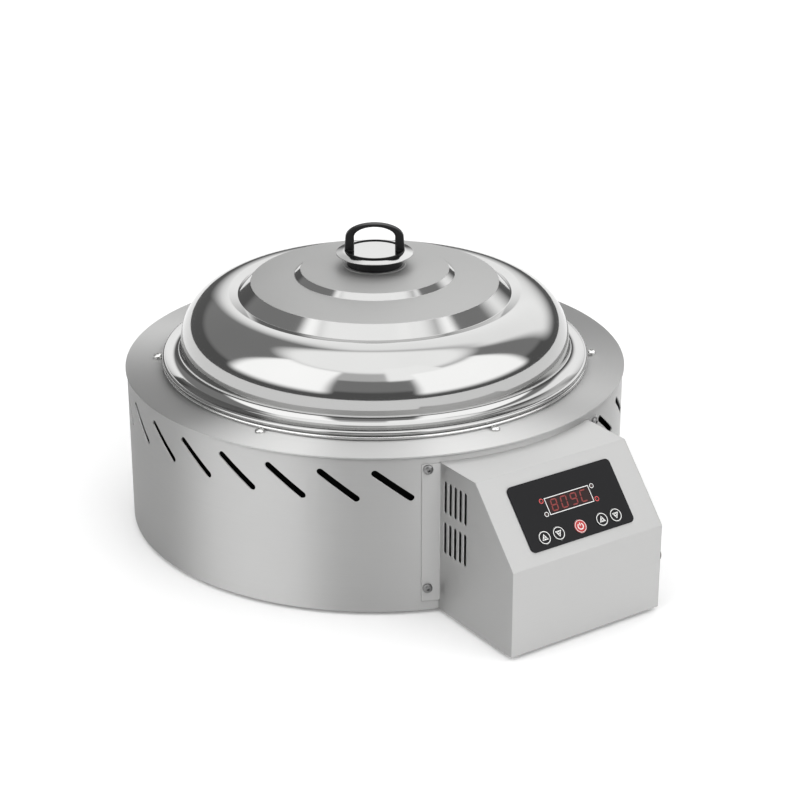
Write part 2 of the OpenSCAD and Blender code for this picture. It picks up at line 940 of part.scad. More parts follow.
module box_bottom_screws() {
    color("lightgray") at_drum() at_box_screws()
        mirror([0, 0, 1]) screw(m4, box_screw_l);
}

module flange_screws() {
    color("lightgray") at_drum() at_flange_screws() screw(m5, flange_screw_l);
}

module control_overlay() {
    color("#2a2a2c") at_drum() difference() {
        on_panel(0, board_row, glue_t)
            linear_extrude(overlay_t) rounded_square(overlay_w, overlay_h, panel_corner);
        on_panel(0, display_row, -over)
            linear_extrude(overlay_t + 2 * over)
                square([display_w + 2 * slip, display_h + 2 * slip], center = true);
        at_keys() hole(key_d + 2 * key_gap);
        at_lamps() hole(lamp_d + 2 * slip);
    }
}

module display_window() {
    color("#501010") at_drum()
        on_panel(0, display_row, glue_t) linear_extrude(window_t) square([display_w, display_h], center = true);
}

// Four-digit block that stands on the board, close behind the sheet
module display_module() {
    color("gray") at_drum()
        on_panel(0, display_row, board_face)
            linear_extrude(standoff_l - display_gap) square([display_block_w, display_block_h], center = true);
}

module indicator_lamps() {
    color("red") at_drum() at_lamps() {
        translate([0, 0, board_face]) cylinder(d = lamp_d, h = -board_face + overlay_t - lamp_d / 2);
        translate([0, 0, overlay_t - lamp_d / 2]) sphere(d = lamp_d);
    }
}

// A round key that lies in the overlay, with a stem that reaches for its switch
module key(across) {
    stem_end = switch_top + key_travel + slip;
    key_top = key_lift + key_t;
    at_drum() on_panel(across, key_row)
        rotate_extrude()
            polygon([
                [0, stem_end], [stem_d / 2, stem_end], [stem_d / 2, key_lift], [key_d / 2, key_lift],
                [key_d / 2, key_top - key_edge], [key_d / 2 - key_edge, key_top], [0, key_top]
            ]);
}

module key_time_up() {
    color("#303032") key(-key_side - key_pitch);
}

module key_time_down() {
    color("#303032") key(-key_side);
}

module key_power() {
    color("firebrick") key(0);
}

module key_temp_up() {
    color("#303032") key(key_side);
}

module key_temp_down() {
    color("#303032") key(key_side + key_pitch);
}

module control_board() {
    color("darkgreen") at_drum() difference() {
        on_panel(0, board_row, board_face - board_t)
            linear_extrude(board_t) square([board_w, board_h], center = true);
        at_board_corners() translate([0, 0, board_face]) screw_hole(m3);
    }
}

module board_standoffs() {
    color("goldenrod") at_drum() {
        at_board_corners() translate([0, 0, board_face]) standoff();
        at_power_corners() translate([0, 0, sheet_t]) standoff();
    }
}

module board_screws() {
    color("lightgray") at_drum() {
        at_board_corners() translate([0, 0, board_face - board_t]) mirror([0, 0, 1]) screw(m3, board_screw_l);
        at_power_corners() translate([0, 0, power_face]) screw(m3, board_screw_l);
    }
}

module tact_switches() {
    color("black") at_drum() at_keys()
        translate([0, 0, board_face]) {
            translate([-switch_w / 2, -switch_w / 2, 0]) cube([switch_w, switch_w, switch_h]);
            cylinder(d = switch_cap_d, h = switch_h + switch_cap_h);
        }
}

module power_board() {
    color("darkgreen") at_drum() difference() {
        translate([power_x - power_w / 2, power_y - power_l / 2, power_face - board_t])
            cube([power_w, power_l, board_t]);
        at_power_corners() translate([0, 0, power_face]) screw_hole(m3);
    }
}

// Laminated core with a wound bobbin through it
module transformer() {
    color("saddlebrown") at_drum()
        translate([transformer_x, power_y, power_face]) {
            translate([0, 0, core_size[2] / 2]) cube(core_size, center = true);
            translate([0, 0, core_size[2] / 2]) cube(coil_size, center = true);
        }
}

module power_relays() {
    color("royalblue") at_drum()
        for (i = [0, 1])
            translate([relay_x + (i - 0.5) * relay_pitch, power_y, power_face])
                translate([-relay_size[0] / 2, -relay_size[1] / 2, 0]) cube(relay_size);
}

// Ceramic block with a clamping hole and a screw well for each pole
module terminal_block() {
    pole_pitch = block_size[1] / block_poles;
    color("ivory") at_drum() translate([block_x, block_y, sheet_t]) difference() {
        translate([-block_size[0] / 2, -block_size[1] / 2, 0]) cube(block_size);
        for (i = [0:block_poles - 1])
            translate([0, (i + 0.5) * pole_pitch - block_size[1] / 2, 0]) {
                translate([0, 0, block_size[2] / 2]) rotate([0, 90, 0])
                    hole(lead_d + 2 * slip, block_size[0]);
                translate([-block_size[0] / 4, 0, block_size[2] / 2])
                    cylinder(d = block_screw_d, h = block_size[2]);
            }
    }
}

// Direction of a wire at one of its points: halfway between the stretches that meet there
function wire_heading(points, i) =
    let (
        last = len(points) - 1,
        ahead = points[min(i + 1, last)] - points[min(i, last - 1)],
        behind = points[max(i, 1)] - points[max(i - 1, 0)],
        both = ahead / norm(ahead) + behind / norm(behind)
    )
    both / norm(both);

// A wire of eight sides, swept along its points with one ring at each
module wire(points, d) {
    sides = 8;
    last = len(points) - 1;
    rings = [
        for (i = [0:last])
        let (
            heading = wire_heading(points, i),
            level = cross(heading, [0, 0, 1]),
            across = level / norm(level),
            up = cross(across, heading)
        )
        for (k = [0:sides - 1])
        points[i] + d / 2 * (cos(360 * k / sides) * across + sin(360 * k / sides) * up)
    ];
    walls = [
        for (i = [0:last - 1], k = [0:sides - 1])
        let (here = i * sides, next = (k + 1) % sides)
        each [
            [here + k, here + next, here + sides + next],
            [here + k, here + sides + next, here + sides + k]
        ]
    ];
    ends = [
        for (k = [1:sides - 2])
        each [
            [0, k + 1, k],
            [last * sides, last * sides + k, last * sides + k + 1]
        ]
    ];
    polyhedron(rings, concat(walls, ends));
}

// Leads from the terminal block, through the window in the wall, to the element's studs
module heater_leads() {
    pole_pitch = block_size[1] / block_poles;
    legs = [
        [-outer_leg_angle, outer_ring_d / 2], [-inner_leg_angle, inner_ring_d / 2],
        [inner_leg_angle, inner_ring_d / 2], [outer_leg_angle, outer_ring_d / 2]
    ];
    pole_z = sheet_t + block_size[2] / 2;
    run_z = lead_window_z + lead_window_h / 2;
    block_face = block_x - block_size[0] / 2;
    stop = stud_d / 2 + slip;
    color("firebrick") at_drum()
        for (i = [0:block_poles - 1]) {
            lane_x = (i - (block_poles - 1) / 2) * lead_pitch;
            pole_y = block_y - block_size[1] / 2 + (i + 0.5) * pole_pitch;
            stud = [legs[i][1] * sin(legs[i][0]), -legs[i][1] * cos(legs[i][0])];
            wire([
                [block_face + lead_entry, pole_y, pole_z],
                [block_face - (block_poles - i) * lead_fan, pole_y, pole_z],
                [lane_x, -wall_r - lead_bend, run_z],
                [lane_x, -shield_r + lead_bend, run_z],
                [stud[0], stud[1] - stop, leg_end - stud_l + lead_d / 2]
            ], lead_d);
        }
}

// Cable gland through the right-hand wall, with its clamping cap outside
module cord_gland() {
    color("#202022") at_drum()
        translate([box_w / 2, gland_y, gland_z]) rotate([0, 90, 0]) difference() {
            union() {
                translate([0, 0, -sheet_t - gland_tail])
                    cylinder(d = gland_thread_d, h = gland_tail + sheet_t + gland_hex_t);
                cylinder(d = gland_hex_d, h = gland_hex_t, $fn = 6);
                translate([0, 0, gland_hex_t]) cylinder(d = gland_cap_d, h = gland_cap_l);
                translate([0, 0, gland_hex_t + gland_cap_l])
                    cylinder(d1 = gland_cap_d, d2 = gland_nose_d, h = gland_nose_l);
            }
            hole(gland_bore_d, gland_hex_t + gland_cap_l + gland_nose_l + over);
        }
}

module gland_nut() {
    color("#202022") at_drum()
        translate([box_w / 2 - sheet_t - gland_nut_t, gland_y, gland_z]) rotate([0, 90, 0])
            nut([gland_thread_d, gland_nut_d, gland_nut_t]);
}

module pan() {
    color("lightgray") at_drum()
        rotate_extrude() {
            polygon(concat(pan_line, reversed(beside(pan_line, -pan_t))));
            translate([rim_r - rim_bead, rim_top - rim_bead]) circle(rim_bead, $fn = 32);
        }
}

// Perforated plate with a turned-down rim
module steam_rack() {
    color("silver") at_drum() difference() {
        rotate_extrude()
            polygon([
                [0, rack_top - rack_t], [rack_r - rack_t, rack_top - rack_t],
                [rack_r - rack_t, rack_top - rack_rim_h], [rack_r, rack_top - rack_rim_h],
                [rack_r, rack_top], [0, rack_top]
            ]);
        translate([0, 0, rack_top]) {
            hole(steam_hole_d);
            for (i = [1:steam_ring_count])
                ring_of(6 * i, i * steam_ring_pitch) hole(steam_hole_d);
        }
    }
}

module rack_legs() {
    color("silver") at_drum()
        ring_of(rack_leg_count, rack_leg_r, 45)
            translate([0, 0, pan_floor + slip])
                cylinder(d = rack_leg_d, h = rack_top - rack_t - pan_floor - slip);
}

module lid_shell() {
    color("gainsboro") at_drum() difference() {
        translate([0, 0, lid_z])
            rotate_extrude() {
                polygon(concat(beside(lid_line, lid_t), reversed(lid_line)));
                translate([rim_r - lid_bead, lid_bead]) circle(lid_bead, $fn = 32);
            }
        translate([0, 0, neck_z]) at_handle_screws() screw_hole(m4);
    }
}

module handle_neck() {
    color("#151515") at_drum() translate([0, 0, neck_z]) difference() {
        cylinder(d = neck_d, h = neck_h);
        at_handle_screws() screw_hole(m4, neck_h + over);
    }
}

// A disc that thins from the handle's foot out to its rim
module handle_plate() {
    color("gainsboro") at_drum() difference() {
        translate([0, 0, plate_z])
            rotate_extrude()
                polygon([
                    [0, 0], [handle_plate_r, 0], [handle_plate_r, plate_edge],
                    [handle_w / 2, handle_plate_t], [0, handle_plate_t]
                ]);
        translate([0, 0, plate_z]) at_handle_screws() screw_hole(m4);
    }
}

// Front outline of the handle: an arch on two legs
module handle_front() {
    outer_z = handle_h - handle_arch;
    inner_z = handle_h - handle_crown - handle_inner_arch;
    difference() {
        polygon(concat(
            [[handle_w / 2, 0]],
            half_ellipse(outer_z, handle_w / 2 - handle_lean, handle_arch, 20),
            [[-handle_w / 2, 0]]
        ));
        polygon(concat(
            [[handle_gap_w / 2, -over]],
            half_ellipse(inner_z, handle_gap_w / 2, handle_inner_arch, 20),
            [[-handle_gap_w / 2, -over]]
        ));
    }
}

// Side outline of the handle: upright, with rounded upper edges
module handle_side() {
    half = handle_depth / 2;
    polygon(concat(
        [[half, 0]],
        arc([half - handle_edge, handle_h - handle_edge], handle_edge, 0, 90, 5),
        arc([handle_edge - half, handle_h - handle_edge], handle_edge, 90, 180, 5),
        [[-half, 0]]
    ));
}

// Thin ring at the handle's foot, which joins its legs
module handle_foot() {
    difference() {
        cylinder(r = handle_foot_r, h = handle_foot_h);
        hole(2 * (handle_foot_r - handle_foot_w));
    }
}

module lid_handle() {
    color("#151515") at_drum() difference() {
        translate([0, 0, handle_z]) rotate(handle_turn) {
            handle_foot();
            intersection() {
                rotate([90, 0, 0]) linear_extrude(handle_depth, center = true) handle_front();
                rotate([90, 0, 90]) linear_extrude(handle_w + 2 * over, center = true) handle_side();
                cylinder(d = handle_w, h = handle_h);
            }
        }
        translate([0, 0, handle_z]) at_handle_screws() screw_hole(m4, handle_thread + over);
    }
}

module handle_screws() {
    color("lightgray") at_drum()
        translate([0, 0, neck_z - lid_t - washer_t]) at_handle_screws()
            mirror([0, 0, 1]) screw(m4, handle_screw_l);
}

module handle_washers() {
    color("lightgray") at_drum()
        translate([0, 0, neck_z - lid_t - washer_t]) at_handle_screws() difference() {
            cylinder(d = washer_d, h = washer_t);
            screw_hole(m4);
        }
}

drum_wall();
collar_ring();
top_plate();
top_plate_screws();
base_plate();
base_screws();
rubber_feet();
foot_screws();
foot_nuts();
heat_shield();
insulation_ring();
base_insulation();
reflector_tray();
tray_posts();
tray_screws();
outer_element();
inner_element();
element_clips();
terminal_bushes();
terminal_nuts();
probe_bracket();
temperature_probe();
control_box_shell();
control_box_bottom();
box_bottom_screws();
flange_screws();
control_overlay();
display_window();
display_module();
indicator_lamps();
key_time_up();
key_time_down();
key_power();
key_temp_up();
key_temp_down();
control_board();
board_standoffs();
board_screws();
tact_switches();
power_board();
transformer();
power_relays();
terminal_block();
heater_leads();
cord_gland();
gland_nut();
pan();
steam_rack();
rack_legs();
lid_shell();
handle_neck();
handle_plate();
lid_handle();
handle_screws();
handle_washers();
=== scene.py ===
"""Looks of a countertop electric steamer: its lid, pan, handle and print, and a finish for every part."""

import math
from collections import namedtuple

import bpy
import numpy as np
from bpy.props import FloatProperty, FloatVectorProperty, PointerProperty
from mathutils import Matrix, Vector


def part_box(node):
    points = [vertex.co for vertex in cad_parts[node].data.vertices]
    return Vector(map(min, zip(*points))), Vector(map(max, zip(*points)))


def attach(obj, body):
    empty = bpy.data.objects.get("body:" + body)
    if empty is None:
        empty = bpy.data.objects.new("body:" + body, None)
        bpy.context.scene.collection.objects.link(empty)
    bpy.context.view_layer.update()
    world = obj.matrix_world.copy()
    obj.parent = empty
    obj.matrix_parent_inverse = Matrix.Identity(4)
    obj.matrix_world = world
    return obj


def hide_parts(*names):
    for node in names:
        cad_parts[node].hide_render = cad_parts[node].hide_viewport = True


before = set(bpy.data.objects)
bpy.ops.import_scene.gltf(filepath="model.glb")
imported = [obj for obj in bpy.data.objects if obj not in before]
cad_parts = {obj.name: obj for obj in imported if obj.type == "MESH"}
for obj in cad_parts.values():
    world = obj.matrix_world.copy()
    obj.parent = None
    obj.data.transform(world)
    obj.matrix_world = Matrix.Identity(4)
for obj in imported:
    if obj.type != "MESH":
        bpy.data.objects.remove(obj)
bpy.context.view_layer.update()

bl_info = {
    "name": "Countertop Steamer Looks",
    "version": (1, 0, 0),
    "blender": (4, 5, 0),
    "location": "View3D > Sidebar > Steamer",
    "description": "Builds the visible pieces of a countertop steamer and gives each part its finish",
    "category": "Object",
}

DRUM_LOW, DRUM_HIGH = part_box("top_plate")
LID_LOW, LID_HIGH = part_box("lid_shell")
PAN_LOW, PAN_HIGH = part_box("pan")
PLATE_LOW, PLATE_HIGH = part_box("handle_plate")
HANDLE_LOW, HANDLE_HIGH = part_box("lid_handle")
AXIS = ((DRUM_LOW.x + DRUM_HIGH.x) / 2, (DRUM_LOW.y + DRUM_HIGH.y) / 2)


# Sizes and colours that can be changed

def length(name, description, default):
    return FloatProperty(
        name=name, description=description, default=default, unit="LENGTH", subtype="DISTANCE", precision=5
    )


def angle(name, description, degrees):
    return FloatProperty(name=name, description=description, default=math.radians(degrees), subtype="ANGLE")


def colour(name, description, default):
    return FloatVectorProperty(
        name=name, description=description, default=default, size=3, min=0.0, max=1.0, subtype="COLOR"
    )


def amount(name, description, default):
    return FloatProperty(name=name, description=description, default=default, min=0.0, max=4.0)


class SteamerLid(bpy.types.PropertyGroup):
    """Sizes of the pressed lid; heights count from the underside of its brim"""

    sheet: length("Sheet", "Thickness of the lid's metal", 0.001)
    bead: length("Rolled edge", "Radius of the rolled edge", 0.0024)
    proud: length("Edge proud", "How far the rolled edge stands above the brim", 0.0004)
    brim: length("Brim", "Width of the brim, from its edge in to the dome", 0.020)
    brim_bend: length("Brim bend", "Radius between the brim and the dome", 0.009)
    dome: length("Dome height", "Height of the dome's shoulder", 0.0685)
    shoulder: length("Shoulder", "Radius of the dome's shoulder", 0.050)
    ledge: length("Ledge", "Width of the ring between the shoulder and the outer step", 0.0095)
    ledge_drop: length("Ledge drop", "Fall of that ring to the foot of the outer step", 0.0015)
    outer_run: length("Outer step run", "Width of the outer step", 0.0135)
    outer_rise: length("Outer step rise", "Height of the outer step", 0.0123)
    band_run: length("Band width", "Width of the band between the steps", 0.045)
    band_rise: length("Band rise", "Rise of the band between the steps", 0.007)
    inner_run: length("Inner step run", "Width of the inner step", 0.0065)
    inner_rise: length("Inner step rise", "Height of the inner step", 0.0058)
    boss: length("Seat radius", "Radius of the flat seat in the middle", 0.032)
    boss_rise: length("Seat rise", "Height of the flat seat", 0.0005)
    cap_rise: length("Cap rise", "Rise of the cap from the inner step to the seat", 0.004)
    cap_bow: length("Cap bow", "How far the cap bows up between its edges", 0.0003)
    band_bow: length("Band bow", "How far the band bows up between its edges", 0.0006)
    crease: length("Step edge", "Radius of the pressed edges of the steps", 0.0009)
    crest: length("Crest", "Width of the level stretch between the shoulder and the ledge", 0.001)
    crest_bend: length("Crest bend", "Radius between that stretch and the ledge", 0.009)


class SteamerPan(bpy.types.PropertyGroup):
    """Sizes of the drop-in pan"""

    sheet: length("Sheet", "Thickness of the pan's metal", 0.0012)
    bead: length("Rolled rim", "Radius of the rolled rim", 0.0021)
    proud: length("Rim proud", "How far the rolled rim stands above the ledge", 0.0004)
    lap: length("Lap", "Width of the ledge that rests on the drum", 0.011)
    corner: length("Corner", "Inner radius between wall and bottom", 0.0438)
    lap_bend: length("Ledge bend", "Inner radius between wall and ledge", 0.0062)


class SteamerHandle(bpy.types.PropertyGroup):
    """Sizes of the moulded loop on the lid"""

    width: length("Width", "Width over the two legs", 0.062)
    depth: length("Depth", "Depth, front to back", 0.009)
    lean: length("Lean", "How far each leg leans in up to its shoulder", 0.001)
    gap: length("Finger gap", "Clear width between the legs", 0.042)
    arch: length("Arch", "Height of the outer arch over the legs", 0.0148)
    inner_arch: length("Inner arch", "Height of the arch over the finger gap", 0.011)
    crown: length("Crown", "Thickness at the top of the loop", 0.0032)
    foot_inset: length("Foot inset", "How far the thin foot ring lies inside the legs' outer sides", 0.0005)
    foot_width: length("Foot width", "Width of the thin ring that joins the legs", 0.002)
    foot_height: length("Foot height", "Height of the thin ring that joins the legs", 0.001)
    turn: angle("Turn", "Turn of the loop about the middle of the lid", -34)
    squareness: FloatProperty(
        name="Squareness", description="How square the section is; 2 is an ellipse", default=5.0, min=2.0
    )
    plate_rim: length("Plate rim", "Thickness of the polished plate at its rim", 0.0008)
    plate_bend: length("Plate bend", "Radius where the plate starts to fall to its rim", 0.020)


class SteamerPanel(bpy.types.PropertyGroup):
    """Sizes of the sloping panel and its print; places count across from the middle and down from the bend"""

    bend_out: length("Bend", "Distance of the panel's upper bend from the drum's axis", 0.300)
    bend_height: length("Bend height", "Height of the panel's upper bend above the counter", 0.160)
    slope: angle("Slope", "Slope of the panel below level", 48.576)
    overlay: length("Overlay", "Height of the black overlay's face above the sheet", 0.00105)
    window: length("Window", "Height of the display window's face above the sheet", 0.00085)
    key_top: length("Key top", "Height of a key's face above the sheet", 0.0015)
    key_row: length("Key row", "Distance from the bend down to the row of keys", 0.068)
    key_side: length("Key side", "Distance from the power key to the nearer key of each pair", 0.0258)
    key_pitch: length("Key pitch", "Distance between the two keys of a pair", 0.0167)
    key_radius: length("Key radius", "Radius of a key", 0.0066)
    display_row: length("Display row", "Distance from the bend down to the middle of the display", 0.041)
    display_width: length("Display width", "Width of the display window", 0.051)
    display_height: length("Display height", "Height of the display window", 0.0155)
    digit_width: length("Digit width", "Width of a digit", 0.0062)
    digit_height: length("Digit height", "Height of a digit", 0.0108)
    digit_pitch: length("Digit pitch", "Distance between two digits", 0.0116)
    bar: length("Digit bar", "Width of a bar of a digit", 0.0013)
    bar_gap: length("Bar gap", "How far a bar stops short of a digit's corner", 0.00018)
    digit_slant: amount("Digit slant", "Lean of the digits for each unit of height", 0.12)
    lamp_side: length("Lamp side", "Distance of the lamps from the middle", 0.030)
    lamp_pitch: length("Lamp pitch", "Distance between the two lamps of a pair", 0.0134)
    lamp_ring: length("Lamp ring", "Radius of the ring printed round a lamp", 0.0021)
    line: length("Line", "Width of a printed line", 0.0007)
    thin_line: length("Thin line", "Width of the line of a lamp's ring or an arrow sign", 0.0006)
    arrow: length("Arrow", "Radius of the circle through an arrow sign's corners", 0.0034)
    arrow_drop: length("Arrow drop", "How far that circle lies from the key's middle", 0.0004)
    dot: length("Dot", "Radius of the ring inside an arrow sign", 0.0011)
    dot_line: length("Dot line", "Width of that ring's line", 0.0005)
    power_arc: length("Power arc", "Radius of the power sign's arc", 0.0029)
    power_line: length("Power line", "Width of the power sign's lines", 0.0009)
    power_ring: length("Power ring", "Width of the line of the ring on the power key", 0.00049)
    stem_low: length("Stem low", "Height of the power sign's stem above the key's middle", 0.0006)
    stem_high: length("Stem high", "Height of that stem's upper end above the key's middle", 0.0036)
    ink: length("Ink", "Thickness of the print", 0.00005)


class SteamerColours(bpy.types.PropertyGroup):
    """Colours of the finishes"""

    satin: colour("Satin steel", "Brushed sheet of the drum and its pan", (0.68, 0.68, 0.675))
    # Painted shade: the box steel is a darker copy of the drum's satin steel. The darkening stands for the
    # darker reflections on the box's walls.
    box: colour("Box steel", "Brushed sheet of the control box", (0.56, 0.56, 0.556))
    mirror: colour("Polished steel", "Polished sheet of the lid", (0.46, 0.46, 0.456))
    # Painted light: the handle plate is a lighter copy of the lid's polished steel. The lightening stands for
    # its brighter reflection.
    plate: colour("Handle plate", "Polished plate under the handle", (0.50, 0.50, 0.496))
    inner: colour("Inner sheet", "Plain sheet inside the drum", (0.42, 0.42, 0.425))
    moulding: colour("Handle", "Moulded handle of the lid", (0.006, 0.006, 0.0065))
    overlay: colour("Overlay", "Black film of the control panel", (0.009, 0.009, 0.0102))
    ink: colour("Print", "White print on the panel", (0.85, 0.85, 0.84))
    red: colour("Red", "Face of the power key", (0.42, 0.020, 0.020))
    glow: colour("Digits", "Lit digits behind the window", (0.22, 0.012, 0.010))


class SteamerStage(bpy.types.PropertyGroup):
    """Camera and studio"""

    azimuth: angle("Azimuth", "Side that the camera stands on, from the front", -34.33)
    elevation: angle("Elevation", "Height of the camera above level", 23.04)
    distance: length("Distance", "Distance of the camera from the point it looks at", 2.2652)
    aim_side: length("Aim aside", "Place of that point to the right of the drum's axis", 0.02605)
    aim_height: length("Aim height", "Height of that point above the counter", 0.11674)
    lens: FloatProperty(name="Lens", description="Focal length in mm on a 36 mm sensor", default=96.39)
    floor_size: length("Floor", "Width of the floor", 160.0)
    left_box: amount("Left light", "Strength of the soft box on the left", 2.0)
    right_box: amount("Right light", "Strength of the soft box on the right", 1.95)
    top_box: amount("Top light", "Strength of the soft box overhead", 1.7)
    front_box: amount("Front light", "Strength of the soft box high above the front", 1.75)
    fill_box: amount("Fill light", "Strength of the weaker box high above the camera", 0.85)
    back_box: amount("Back light", "Strength of the soft box behind", 1.55)
    upper_room: amount("Upper room", "Strength of the room above the horizon", 0.34)
    room: amount("Room", "Strength of the room at the horizon", 0.15)
    floor_lift: amount("Floor lift", "Light of its own that brings the floor to white", 0.1)


SoftBox = namedtuple("SoftBox", "strength azimuth width elevation height edge")


# Lines and surfaces

def unit(vectors):
    """Each vector divided by its own length."""
    return vectors / np.linalg.norm(vectors, axis=-1, keepdims=True)


def filleted(corners, radii, steps):
    """Rounds the corners of a line. The arc of a corner touches both sides at radius / tan(half the corner's
    angle) from it; its points turn evenly from one touching point to the other. One more point just before
    and just after each arc keeps the straight stretches straight."""
    corners = np.asarray(corners, float)
    radius = np.asarray(radii, float)[:, None, None]
    here = corners[1:-1, None]
    back = unit(corners[:-2, None] - here)
    on = unit(corners[2:, None] - here)
    half = np.arccos(np.clip((back * on).sum(-1, keepdims=True), -1, 1)) / 2
    reach = radius / np.tan(half)
    middle = here + unit(back + on) * radius / np.sin(half)
    first = here + back * reach - middle
    last = here + on * reach - middle
    swing = np.pi - 2 * half
    t = np.linspace(0, 1, steps + 1)[None, :, None]
    arcs = middle + (np.sin((1 - t) * swing) * first + np.sin(t * swing) * last) / np.sin(swing)
    guard = 0.0001
    rows = np.concatenate([here + back * (reach + guard), arcs, here + on * (reach + guard)], axis=1)
    return np.vstack([corners[:1], rows.reshape(-1, 2), corners[-1:]])


def offset_corners(corners, distance):
    """Moves a line to its right: each corner goes along the mitre of its two sides."""
    corners = np.asarray(corners, float)
    along = unit(np.diff(corners, axis=0))
    right = np.stack([along[:, 1], -along[:, 0]], -1)
    before = np.vstack([right[:1], right])
    after = np.vstack([right, right[-1:]])
    share = 1 + (before * after).sum(-1, keepdims=True)
    return corners + distance * (before + after) / share


def bow_between(start, end, rise):
    """The corner that bows a stretch up by about a rise, and the radius that rounds most of the stretch."""
    start, end = np.asarray(start), np.asarray(end)
    span = np.linalg.norm(end - start)
    return (start + end) / 2 + (0, 2 * rise), 0.1 * span ** 2 / rise


def rolled_section(corners, radii, sheet, bead, proud, steps):
    """Closed section of a pressed sheet with a rolled edge: the upper line out to the edge, a circle round
    the edge's middle from where it meets the upper side to where it meets the underside, and the line
    beneath, which is the upper line moved by the sheet's thickness."""
    corners = np.asarray(corners, float)
    middle = np.array([corners[-1, 0], corners[-1, 1] + proud - bead])
    meet = np.arcsin(np.array([bead - proud, bead - proud - sheet]) / bead)
    turn = np.linspace(np.pi - meet[0], -np.pi - meet[1], 30)
    edge = middle + bead * np.stack([np.cos(turn), np.sin(turn)], -1)
    lower = offset_corners(corners, sheet)
    corners[-1] = edge[0]
    lower[-1] = edge[-1]
    upper = filleted(corners, radii, steps)
    under = filleted(lower, radii, max(steps // 3, 3))
    return np.vstack([upper[:-1], edge, under[-2::-1]])


def grid_faces(rows, columns, wrap_rows=False):
    """Quads of a grid whose columns close round, and whose rows may close too."""
    i = np.arange(rows if wrap_rows else rows - 1)[:, None]
    j = np.arange(columns)[None]
    down, right = (i + 1) % rows, (j + 1) % columns
    quads = [i * columns + j, down * columns + j, down * columns + right, i * columns + right]
    return np.stack(quads, -1).reshape(-1, 4)


def lathe(section, base, turns):
    """Turns a section of (radius, height) that starts and ends on the axis: a point at angle a lies at radius
    times (cos a, sin a). Its two ends close as fans."""
    a = np.linspace(0, 2 * np.pi, turns, endpoint=False)
    r, z = section[1:-1, 0, None], section[1:-1, 1, None]
    ring = np.stack(np.broadcast_arrays(AXIS[0] + r * np.cos(a), AXIS[1] + r * np.sin(a), base + z), -1)
    ends = np.array([[*AXIS, base + section[0, 1]], [*AXIS, base + section[-1, 1]]])
    rows = len(section) - 2
    low, first, last = (rows - 1) * turns, rows * turns, rows * turns + 1
    fans = [[first, j, (j + 1) % turns] for j in range(turns)]
    fans += [[low + j, last, low + (j + 1) % turns] for j in range(turns)]
    return np.vstack([ring.reshape(-1, 3), ends]), grid_faces(rows, turns).tolist() + fans


def handle_loop(handle, height):
    """The moulded loop: an outer and an inner line, each two straight legs and half an ellipse over them, are
    joined at equal parameters, and a superellipse is drawn round each join, as deep as the handle."""
    legs = np.linspace(0, 1, 10)[:-1]
    arch = np.linspace(0, np.pi, 61)
    half, clear = handle.width / 2, handle.gap / 2

    def line(foot, shoulder_x, shoulder_z, top):
        right = np.stack([foot + (shoulder_x - foot) * legs, shoulder_z * legs], -1)
        over = np.stack([shoulder_x * np.cos(arch), shoulder_z + (top - shoulder_z) * np.sin(arch)], -1)
        return np.vstack([right, over, right[::-1] * (-1, 1)])

    clear_top = height - handle.crown
    outer = line(half, half - handle.lean, height - handle.arch, height)
    inner = line(clear, clear, clear_top - handle.inner_arch, clear_top)
    turn = np.linspace(0, 2 * np.pi, 40, endpoint=False)
    power = 2 / handle.squareness
    across = np.sign(np.cos(turn)) * np.abs(np.cos(turn)) ** power
    deep = np.sign(np.sin(turn)) * np.abs(np.sin(turn)) ** power
    middle, reach = (outer + inner)[:, None] / 2, (outer - inner)[:, None] / 2
    flat = middle + reach * across[None, :, None]
    depth = np.broadcast_to(handle.depth / 2 * deep, flat.shape[:2])
    c, s = math.cos(handle.turn), math.sin(handle.turn)
    points = np.stack([
        AXIS[0] + c * flat[..., 0] - s * depth,
        AXIS[1] + s * flat[..., 0] + c * depth,
        HANDLE_LOW.z + flat[..., 1],
    ], -1)
    rows, columns = flat.shape[:2]
    order = np.arange(rows * columns).reshape(rows, columns)
    ends = [order[0, ::-1].tolist(), order[-1].tolist()]
    return points.reshape(-1, 3), grid_faces(rows, columns)[:, ::-1].tolist() + ends


def foot_ring(handle):
    """The thin ring at the loop's foot: a superellipse of (radius, height) turned round the axis."""
    steps, turns = 16, 120
    turn = np.linspace(0, 2 * np.pi, steps, endpoint=False)[:, None]
    around = np.linspace(0, 2 * np.pi, turns, endpoint=False)[None]
    middle = handle.width / 2 - handle.foot_inset - handle.foot_width / 2
    radius = middle + handle.foot_width / 2 * np.sign(np.cos(turn)) * np.sqrt(np.abs(np.cos(turn)))
    height = handle.foot_height / 2 * (1 + np.sign(np.sin(turn)) * np.sqrt(np.abs(np.sin(turn))))
    parts = [AXIS[0] + radius * np.cos(around), AXIS[1] + radius * np.sin(around), HANDLE_LOW.z + height]
    points = np.stack(np.broadcast_arrays(*parts), -1)
    return points.reshape(-1, 3), grid_faces(steps, turns, True)[:, ::-1].tolist()


def ribbon(path, width, closed):
    """A flat ribbon along a line on the panel: its sides run half a width to each side of the line, on the
    mitre of each corner, and its section is a thin rectangle of height 1."""
    path = np.asarray(path, float)
    if closed:
        back, on = np.roll(path, 1, axis=0), np.roll(path, -1, axis=0)
    else:
        back = np.vstack([2 * path[:1] - path[1:2], path[:-1]])
        on = np.vstack([path[1:], 2 * path[-1:] - path[-2:-1]])
    before, after = unit(path - back), unit(on - path)
    along = unit(before + after)
    side = np.stack([-along[:, 1], along[:, 0]], -1)
    mitre = width / 2 / np.abs((along * before).sum(-1, keepdims=True))
    left, right = path + side * mitre, path - side * mitre
    section = ((left, 0), (left, 1), (right, 1), (right, 0))
    corners = [np.insert(edge, 2, height, -1) for edge, height in section]
    faces = grid_faces(len(path), 4, closed).tolist()
    if not closed:
        faces += [[3, 2, 1, 0], [4 * len(path) - 4 + k for k in range(4)]]
    return np.stack(corners, 1).reshape(-1, 3), faces


